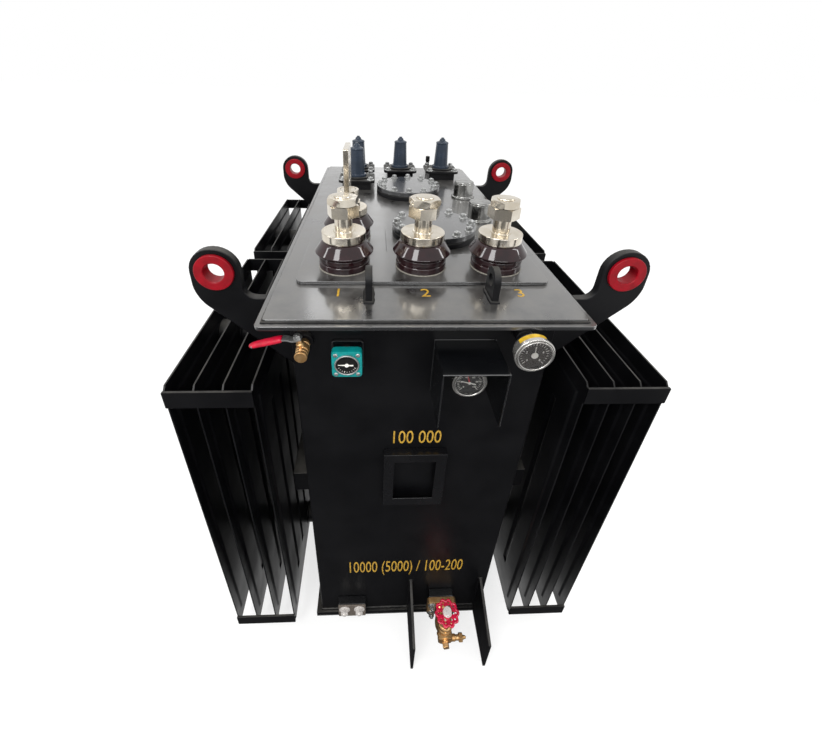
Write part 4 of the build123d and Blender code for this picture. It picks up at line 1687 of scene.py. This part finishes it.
@dataclass
class RoundGauge:
    """A round instrument: a case on a stem, a double bezel, a printed dial and its glass."""

    node: str
    stem: float
    stem_length: float
    bezel: float
    dial: Dial
    red_turn: float | None
    white_turn: float
    reach: float
    tail: float = 0.0
    band: bool = False
    pointer: float = 0.0022
    waist: float = 0.86
    waist_spans: tuple[float, float] = (0.5, 0.53)
    flare: float = 0.72
    flare_lap: float = 0.004
    stem_round: float = 0.001
    step_share: float = 0.55
    case_lap: float = 0.002
    recess: float = 0.0060
    glass_lift: float = 0.0038
    back_rows: Rows = ((None, 0, 0), (-4, 0, 3), (-2, 6, 1))
    rim_rows: Rows = ((-2, -10, 0), (0, -9.5, 0.8), (0, -2.4, 1.5))
    step_rows: Rows = ((0.7, -2, 0.7), (0.5, -3.4, 0.2), (0, -3.4, 0.2), (0, 0, 0.9))
    lip_rows: Rows = ((0.6, 0, 0.7), (0, -1, 0.3), (0, -6, 0), (None, -6, 0))
    glass_rows: Rows = ((None, 0, 0), (0, 0, 0), (0, 0.7, 0.2), (None, 0.7, 0))
    band_rows: Rows = ((-2.1, 6.5, 0), (-1.3, 6.5, 0))
    band_ends: Rows = ((-1.3, -10.8, 0), (-2.1, -10.8, 0))
    band_level: float = 0.2
    band_sides: tuple[Corner, ...] = ((1.2, -1, 0), (-0.5, -1, 0))

    def build(self) -> None:
        """Build the instrument at its CAD node."""
        low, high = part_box(self.node)
        middle, radius, depth, name = centre(self.node), (high.x - low.x) / 2, high.y - low.y, self.node
        foot = outward(middle.x, high.y, middle.z)
        long, soft = self.stem_length, self.stem_round
        thin, wide = self.stem * self.waist, radius * self.flare
        first, second = [long * share for share in self.waist_spans]
        profile = [
            (0, 0, 0), (self.stem, 0, 0), (self.stem, first, soft), (thin, second, soft), (thin, long, 0),
            (wide, long, soft), (wide, long + self.flare_lap, 0),
        ]
        dress(lathe(f"{name}_stem", profile, foot, steps=48), ENAMEL)
        start, inner = long + self.case_lap, radius - self.bezel
        step = radius - self.bezel * self.step_share
        profile = mm(self.back_rows, radius, start) + mm(self.rim_rows, radius, depth)
        profile += mm(self.step_rows, step, depth) + mm(self.lip_rows, inner, depth)
        dress(lathe(f"{name}_case", profile, foot, steps=72), CHROME, name)
        face = foot @ upright(0, 0, depth - self.recess)
        self.dial.build(name, face)
        reach, hub, width = self.dial.radius * self.reach, self.dial.hub, self.pointer
        if self.red_turn is not None:
            self.dial.point(f"{name}_red_pointer", face, self.red_turn, reach, hub, width, POINTER_RED)
        lift, tail = face @ upright(0, 0, self.dial.film), reach * self.tail
        self.dial.point(f"{name}_pointer", lift, self.white_turn, reach, tail, width, PRINT_WHITE)
        window = face @ upright(0, 0, self.glass_lift)
        dress(lathe(f"{name}_glass", mm(self.glass_rows, inner), window), GLASS)
        if self.band:
            self.wrap_band(foot, radius, start, depth)

    def wrap_band(self, foot: Matrix, radius: float, start: float, depth: float) -> None:
        """Stick a bright strip of film over the top of the case.

        Args:
            foot: The gauge's foot on the wall.
            radius: The case's radius.
            start: Where the case begins.
            depth: Where the bezel ends.
        """
        profile = mm(self.band_rows, radius, start) + mm(self.band_ends, radius, depth)
        band = lathe(f"{self.node}_band", [*profile, profile[0]], Matrix(), steps=96)
        edit(band)
        level = (0, radius * self.band_level, 0)
        for normal in self.band_sides:
            cut_open(level, normal, clear_outer=True, use_fill=True)
        clear()
        dress(put(band, foot), LABEL_YELLOW)


@dataclass
class FrontWallSheets:
    """The hood, the nameplate frame, the drain's boss and guards, and the earthing pad."""

    edge: float = 0.0009
    hood_edge: float = 0.0014
    block_edge: float = 0.0015
    hood_bead: float = 0.0014
    guard_bead: float = 0.003
    bead_start: float = 0.002
    bead_foot: float = 0.022
    pad_face: float = 0.0022
    pad_edge: float = 0.0006
    pad_corner: float = 0.002
    pad_margins: tuple[float, float] = (0.002, 0.003)
    pad_bolt_spread: float = 0.0203
    pad_bolt_level: float = 0.041
    bolt: HexBolt = HexBolt(flats=0.019, head=0.010, tip=0.003)

    def build(self) -> None:
        """Ease the sheets and fit the earthing pad's face and bolts."""
        eased_node("thermometer_hood", "hood_sheet", self.hood_edge, SHEET_ENAMEL)
        low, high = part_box("thermometer_hood")
        seam = ((low.x, low.z), (low.x, high.z), (high.x, high.z), (high.x, low.z))
        dress(bead("hood_weld", [(x, high.y, z) for x, z in seam], self.hood_bead), SHEET_ENAMEL)
        eased_node("nameplate_frame", "frame_sheet", self.edge, CLEAN_ENAMEL)
        eased_node("drain_boss", "drain_boss_steel", self.block_edge, SHEET_ENAMEL)
        for side in ("left", "right"):
            node = f"drain_guard_{side}"
            eased_node(node, f"{node}_steel", self.edge, ENAMEL)
            low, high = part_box(node)
            roots = {f"{node}_{x:.3f}": (x, high.y) for x in (low.x, high.x)}
            weld_down(f"{node}_weld", roots, high.z - self.bead_start, self.bead_foot, self.guard_bead)
        eased_node("ground_pad", "ground_pad_steel", self.block_edge, CLEAN_ENAMEL)
        low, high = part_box("ground_pad")
        middle, (across, up) = centre("ground_pad"), self.pad_margins
        outline = rectangle(high.x - low.x - across, high.z - low.z - up, self.pad_corner)
        place = outward(middle.x, low.y, middle.z)
        dress(plate("ground_pad_face", outline, self.pad_face, place, self.pad_edge), PAD_STEEL)
        level, front = low.z + self.pad_bolt_level, low.y - self.pad_face
        spots = [outward(middle.x + side * self.pad_bolt_spread, front, level) for side in PAIR]
        self.bolt.lay("ground_pad_bolts", spots, DULL_ZINC)


@dataclass
class DrainValve:
    """The brass drain valve with its flange, bonnet, plugged cap and sampling cock, and its handwheel."""

    flange: tuple[float, float, float] = (0.078, 0.064, 0.008)
    flange_depth: float = 0.014
    flange_edge: float = 0.0012
    bolt: HexBolt = HexBolt(flats=0.014, head=0.008, tip=0.004)
    bolt_inset: float = 0.012
    shell_rows: Rows = (
        (21.12, 12, 0), (21.12, 16, 2), (17.16, 24, 3), (18.92, 32, 3), (22, 40, 4), (22, 54, 4),
        (18.04, 61, 1), (18.04, 64, 0.8), (20.24, 65, 0.8), (20.24, 69, 0.8), (17.6, 70, 0),
        (17.6, 72, 0), (None, 72, 0),
    )
    cap: tuple[float, float] = (0.036, 0.014)
    cap_level: float = 0.070
    cap_chamfer: float = 0.14
    collar_rows: Rows = ((8.7, 82, 0), (8.7, 88, 0.8), (None, 88, 0))
    plug: tuple[float, float, float] = (0.0145, 0.0145, 0.001)
    plug_level: float = 0.087
    plug_turn: float = 0.3
    plug_edge: float = 0.0012
    bonnet_rows: Rows = ((19, 10, 0), (19, 26, 1), (17.1, 28, 1), (19, 31, 1))
    bonnet_top: Rows = ((19, -20, 2), (15.2, -16, 1), (6, -16, 0))
    packing: tuple[float, float] = (0.030, 0.016)
    packing_chamfer: float = 0.16
    cock_out: float = 0.097
    cock_rows: Rows = ((8, 12, 0), (8, 26, 0.8), (6.4, 28, 0), (6.4, 34, 0))
    cock_tip: Rows = ((5.76, -10, 0), (5.2, -9, 0.4), (3, -1, 1), (None, 0, 0))
    cock_nut: tuple[float, float] = (0.018, 0.010)
    cock_nut_back: float = 0.020
    lobes: int = 10
    lobe_depth: float = 0.0022
    rim: float = 0.0030
    rim_points: int = 96
    hub: float = 0.0115
    bore_rows: Rows = ((5.2, 1, 0),)
    web_rows: Rows = ((0, 2.5, 0), (0, 6.5, 0))
    hub_rows: Rows = ((11, 5.8, 1),)
    hub_top: Rows = ((10, 0, 1), (5.2, 0, 0))
    openings: int = 6
    opening: float = 0.0038
    dimple: float = 0.0024
    dimple_inset: float = 0.7
    stem_rows: Rows = ((None, 0, 0), (5, 0, 0.5))
    stem_top: Rows = ((5, -1, 1.5), (None, -1, 0))
    washer_rows: Rows = ((5, -8, 0), (11.5, -8, 0), (11.5, -6.4, 0.4), (5, -6.4, 0))
    stem_nut: tuple[float, float] = (0.019, 0.0064)
    stem_nut_chamfer: float = 0.18

    def build(self) -> None:
        """Build the valve and its handwheel."""
        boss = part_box("drain_boss")[0]
        low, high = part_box("drain_valve")
        axis_z = centre("drain_boss").z
        place = outward(centre("drain_boss").x, boss.y, axis_z)
        flange = plate("flange", rectangle(*self.flange), self.flange_depth, place, self.flange_edge)
        mark_turning(flange, lathed=False)
        shell = lathe("shell", mm(self.shell_rows), place)
        pieces = [flange, shell, self.end_cap(place, boss.y - low.y)]
        pieces += [self.bonnet(high.z - axis_z, axis_z), self.cock(high.x, axis_z)]
        dress(join("drain_valve_brass", pieces), BRASS, "drain_valve")
        across, up = self.flange[0] / 2 - self.bolt_inset, self.flange[1] / 2 - self.bolt_inset
        spots = [place @ upright(x * across, y * up, self.flange_depth) for x, y in FOUR]
        self.bolt.lay("drain_flange_bolts", spots, ZINC)
        self.handwheel()
        self.stem()

    def end_cap(self, place: Matrix, length: float) -> Piece:
        """Build the hexagon cap and the square-headed plug in its middle.

        Args:
            place: The valve's foot on the boss, its own Z outwards.
            length: The length of the valve.

        Returns:
            The cap with its plug.
        """
        cap = prism("cap", *self.cap, place @ upright(0, 0, self.cap_level), self.cap_chamfer)
        ring = lathe("collar", mm(self.collar_rows), place, steps=32)
        root = place @ upright(0, 0, self.plug_level) @ turned(self.plug_turn)
        head = plate("plug", rectangle(*self.plug), length - self.plug_level, root, self.plug_edge)
        mark_turning(head, lathed=False)
        return join("end_cap", [cap, ring, head])

    def bonnet(self, top: float, axis_z: float) -> Piece:
        """Turn the upright bonnet under its packing nut.

        Args:
            top: The bonnet's height over the axis.
            axis_z: The height of the valve's axis.

        Returns:
            The bonnet.
        """
        stem = centre("drain_stem")
        place = upright(stem.x, stem.y, axis_z)
        shell = lathe("bonnet", mm(self.bonnet_rows) + mm(self.bonnet_top, 0, top), place, steps=48)
        level = place @ upright(0, 0, top - self.packing[1])
        return join("bonnet", [prism("packing", *self.packing, level, self.packing_chamfer), shell])

    def cock(self, reach: float, axis_z: float) -> Piece:
        """Build the sampling cock on the valve's side.

        Args:
            reach: The X of its tip.
            axis_z: The height of the valve's axis.

        Returns:
            The cock.
        """
        x = centre("drain_stem").x
        place = upright(x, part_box("front_wall")[0].y - self.cock_out, axis_z) @ turned(QUARTER, "Y")
        length = reach - x
        tube = lathe("tube", mm(self.cock_rows) + mm(self.cock_tip, 0, length), place, steps=32)
        nut = prism("cock_nut", *self.cock_nut, place @ upright(0, 0, length - self.cock_nut_back))
        return join("cock", [nut, tube])

    def handwheel(self) -> None:
        """Build the lobed crimson wheel with its pierced web."""
        place, radius, height = stand("drain_handwheel")
        mean = radius - self.rim - self.lobe_depth
        turns = [i * 2 * math.pi / self.rim_points for i in range(self.rim_points)]
        line = [mean + self.lobe_depth * math.cos(self.lobes * t) for t in turns]
        points = [(r * math.cos(t), r * math.sin(t), height / 2) for r, t in zip(line, turns)]
        wire = chain("rim", points)
        close(wire, points)
        rim = sweep(wire, self.rim, resolution=4)
        bore = mm(self.bore_rows)
        profile = mm(self.web_rows, mean) + mm(self.hub_rows) + mm(self.hub_top, 0, height)
        web = lathe("web", bore + profile + bore, Matrix(), steps=64)
        inner, outer = self.hub + self.opening, mean - self.rim - self.dimple * self.dimple_inset
        rings = ((self.openings, self.opening, inner), (self.lobes, self.dimple, outer))
        for count, size, reach in rings:
            hole = lathe("hole", drum(size, height * 3), Matrix(), steps=20)
            carve(web, scatter(hole, "cutters", ring_of(count, reach, upright(0, 0, -height))))
        wheel = put(ease(join("handwheel_rim", [web, rim]), 0), place)
        dress(wheel, CARMINE, "drain_handwheel", body="handwheel")

    def stem(self) -> None:
        """Turn the stem and fit the bright nut over the wheel."""
        place, _, length = stand("drain_stem")
        shaft = lathe("shaft", mm(self.stem_rows) + mm(self.stem_top, 0, length), place, steps=32)
        washer = lathe("washer", mm(self.washer_rows, 0, length), place, steps=32)
        level = place @ upright(0, 0, length - self.stem_nut[1])
        head = prism("head", *self.stem_nut, level, self.stem_nut_chamfer)
        dress(join("handwheel_stem", [head, shaft, washer]), DULL_ZINC, "drain_stem", body="handwheel")


@dataclass
class StencilNumbers:
    """Plain gold numbers by the bushings and on the front wall."""

    paint: float = 0.0003
    terminal_spots: tuple[float, ...] = (-0.152, 0.005, 0.178)
    terminal_setback: float = 0.055
    terminal_size: float = 0.027
    lines: tuple[tuple[str, str, float, float, float], ...] = (
        ("rating_number", "100 000", 0.736, 0.099, 0.037),
        ("voltage_number", "10000 (5000) / 100-200", 0.237, 0.300, 0.052),
    )

    def build(self) -> None:
        """Paint the numbers."""
        wall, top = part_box("front_wall")[0].y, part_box("cover_plate")[1].z
        digits = []
        for number, x in enumerate(self.terminal_spots, start=1):
            place = upright(x, wall + self.terminal_setback, top)
            digits.append(lettering("digit", str(number), self.terminal_size, self.paint, place))
        dress(join("terminal_numbers", digits), GOLD)
        for name, line, level, width, height in self.lines:
            dress(lettering(name, line, height, self.paint, outward(0, wall, level), width), GOLD)


def gauges() -> list[RoundGauge]:
    """Return the two round instruments of the front wall.

    Returns:
        The thermometer and the pressure gauge.
    """
    scale = ("0", "20", "40", "60", "80", "100")
    warmth = Dial(0.0236, DIAL_BLACK, scale, marks=26, digit=0.0050, hub=0.0026)
    pressure = Dial(0.0258, DIAL_GREY, ("0", "2", "4", "6", "8"), marks=21, digit=0.0060, hub=0.0056)
    red, white, upwards = math.radians(105), math.radians(164), math.radians(92)
    return [
        RoundGauge("thermometer", 0.012, 0.036, 0.0060, warmth, red, white, 0.7, 0.7),
        RoundGauge("pressure_gauge", 0.015, 0.044, 0.0064, pressure, None, upwards, 0.6, band=True),
    ]


@dataclass
class Studio:
    """Floor, light and camera. The camera stands where the photograph was taken."""

    camera_place: tuple[float, float, float] = (-0.0907, -1.0602, 1.4032)
    pitch: float = math.radians(27.88)
    yaw: float = math.radians(2.94)
    roll: float = math.radians(-1.66)
    focal_pixels: float = 387.28
    centre_pixels: tuple[float, float] = (390.20, 274.26)
    frame_pixels: tuple[int, int] = (823, 734)
    nearest: float = 0.01
    floor_size: float = 60.0
    floor_colour: str = "#f2f2f1"
    floor_glow: float = 0.62
    floor_white: float = 1.16
    dull: float = 0.9
    sky_strength: float = 0.85
    card_width: float = 3.6
    card_strips: tuple[tuple[float, float], ...] = ((0.0, 2.2), (2.5, 14.0))
    card_lift: float = 0.006
    card_colour: str = "#454547"

    def build(self) -> None:
        """Set up the whole studio."""
        self.place_camera()
        self.lay_floor()
        self.light_world()
        self.lay_cards()
        self.hang_lamps()
        bpy.context.scene.view_settings.view_transform = "Standard"

    def place_camera(self) -> None:
        """Stand the camera at the photograph's viewpoint and give it the photograph's framing."""
        data = bpy.data.cameras.new("camera")
        camera = bpy.data.objects.new("camera", data)
        bpy.context.scene.collection.objects.link(camera)
        ahead = math.cos(self.pitch)
        forward = Vector((math.sin(self.yaw) * ahead, math.cos(self.yaw) * ahead, -math.sin(self.pitch)))
        level = Vector((math.cos(self.yaw), -math.sin(self.yaw), 0.0))
        down = forward.cross(level)
        right = level * math.cos(self.roll) + down * math.sin(self.roll)
        down = forward.cross(right)
        turn = Matrix((right, -down, -forward)).transposed().to_4x4()
        camera.matrix_world = Matrix.Translation(self.camera_place) @ turn
        width, height = self.frame_pixels
        data.sensor_fit = "HORIZONTAL"
        data.lens = self.focal_pixels / width * data.sensor_width
        data.shift_x = (width / 2 - self.centre_pixels[0]) / width
        data.shift_y = (self.centre_pixels[1] - height / 2) / width
        data.clip_start = self.nearest
        bpy.context.scene.camera = camera

    def lay_floor(self) -> None:
        """Lay the pale floor, which reads as white to the camera but keeps a soft shadow."""
        clear()
        bpy.ops.mesh.primitive_plane_add(size=self.floor_size)
        floor = named("floor")
        values = {"Base Color": linear(self.floor_colour), "Roughness": self.dull}
        material, shader = new_material("pale_floor", values)
        tree = material.node_tree
        links = {0: self.seen(tree)}
        share = add_node(tree, "ShaderNodeMath", {1: self.floor_glow}, links, operation="MULTIPLY")
        glow = add_node(tree, "ShaderNodeEmission", {"Strength": self.floor_white})
        links = {0: share.outputs["Value"], 1: shader.outputs["BSDF"], 2: glow.outputs["Emission"]}
        mixed = add_node(tree, "ShaderNodeMixShader", links=links)
        tree.links.new(mixed.outputs["Shader"], tree.nodes["Material Output"].inputs["Surface"])
        floor.data.materials.append(material)

    def seen(self, tree: Tree) -> Socket:
        """Find the rays that show a surface to the eye: direct, mirrored and through glass.

        Args:
            tree: The nodes of a material or world.

        Returns:
            1 for those rays and 0 for the others.
        """
        rays = add_node(tree, "ShaderNodeLightPath").outputs
        share = rays["Is Camera Ray"]
        for kind in ("Is Glossy Ray", "Is Transmission Ray"):
            links = {0: share, 1: rays[kind]}
            share = add_node(tree, "ShaderNodeMath", links=links, operation="MAXIMUM").outputs["Value"]
        return share

    def light_world(self) -> None:
        """Light everything softly from all round, and show white to the camera."""
        world = bpy.data.worlds.new("studio")
        bpy.context.scene.world = world
        world.use_nodes = True
        tree = world.node_tree
        sky = tree.nodes["Background"]
        sky.inputs["Color"].default_value = (1, 1, 1, 1)
        sky.inputs["Strength"].default_value = self.sky_strength
        white = add_node(tree, "ShaderNodeBackground", {"Color": (1, 1, 1, 1), "Strength": 1.0})
        links = {0: self.seen(tree), 1: sky.outputs["Background"], 2: white.outputs["Background"]}
        mixed = add_node(tree, "ShaderNodeMixShader", links=links)
        tree.links.new(mixed.outputs["Shader"], tree.nodes["World Output"].inputs["Surface"])

    def lay_cards(self) -> None:
        """Lay dark cards that only mirrors see, which give bright metal its dark bands."""
        values = {"Base Color": linear(self.card_colour), "Roughness": self.dull}
        material = new_material("dark_card", values)[0]
        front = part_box("base_plate")[0].y
        for near, far in self.card_strips:
            clear()
            middle = (0, front - (near + far) / 2, self.card_lift)
            bpy.ops.mesh.primitive_plane_add(size=1, location=middle)
            card = named("dark_card")
            card.scale = (self.card_width, far - near, 1)
            bpy.ops.object.transform_apply(location=True, scale=True)
            card.data.materials.append(material)
            for sight in ("camera", "diffuse", "shadow", "transmission"):
                setattr(card, f"visible_{sight}", False)

    def hang_lamps(self) -> None:
        """Hang the soft lamps: at the front and the sides, overhead and behind."""
        for name, place, aim, size, power, mirrored in (
            ("key", (-1.1, -1.9, 2.9), (0, -0.2, 0.9), (0.8, 1.4), 40.0, True),
            ("front", (0.2, -3.0, 2.7), (0, -0.5, 0.9), (2.6, 0.35), 26.0, True),
            ("left", (-2.6, -0.6, 2.8), (0, -0.2, 0.9), (0.3, 1.5), 16.0, True),
            ("right", (2.6, -0.4, 2.8), (0, -0.2, 0.9), (0.3, 1.5), 16.0, True),
            ("back", (1.5, 2.6, 3.0), (0, 0, 1.0), (1.5, 1.5), 40.0, False),
            ("window", (-0.05, 3.4, 2.0), (0, 0, 1.0), (0.22, 2.2), 1.0, True),
            ("skylight", (-0.47, 1.9, 2.57), (-0.16, -0.5, 1.05), (0.4, 0.35), 1.2, True),
        ):
            lamp = bpy.data.lights.new(name, "AREA")
            lamp.energy = power
            lamp.shape = "RECTANGLE"
            lamp.size, lamp.size_y = size
            lamp_object = bpy.data.objects.new(name, lamp)
            bpy.context.scene.collection.objects.link(lamp_object)
            lamp_object.visible_glossy = mirrored
            lamp_object.location = place
            lamp_object.rotation_euler = (Vector(aim) - Vector(place)).to_track_quat("-Z", "Y").to_euler()


def main() -> None:
    """Build the transformer and its studio."""
    logging.basicConfig(level=logging.INFO, format="%(message)s")
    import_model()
    Studio().build()
    for assembly in (
        Tank(), LowVoltageBushings(), HighVoltageBushings(), CoverFittings(), LiftingLugs(), Radiators(),
        BallValve(), LevelGauge(), *gauges(), FrontWallSheets(), DrainValve(), StencilNumbers(),
    ):
        assembly.build()


if __name__ == "__main__":
    main()
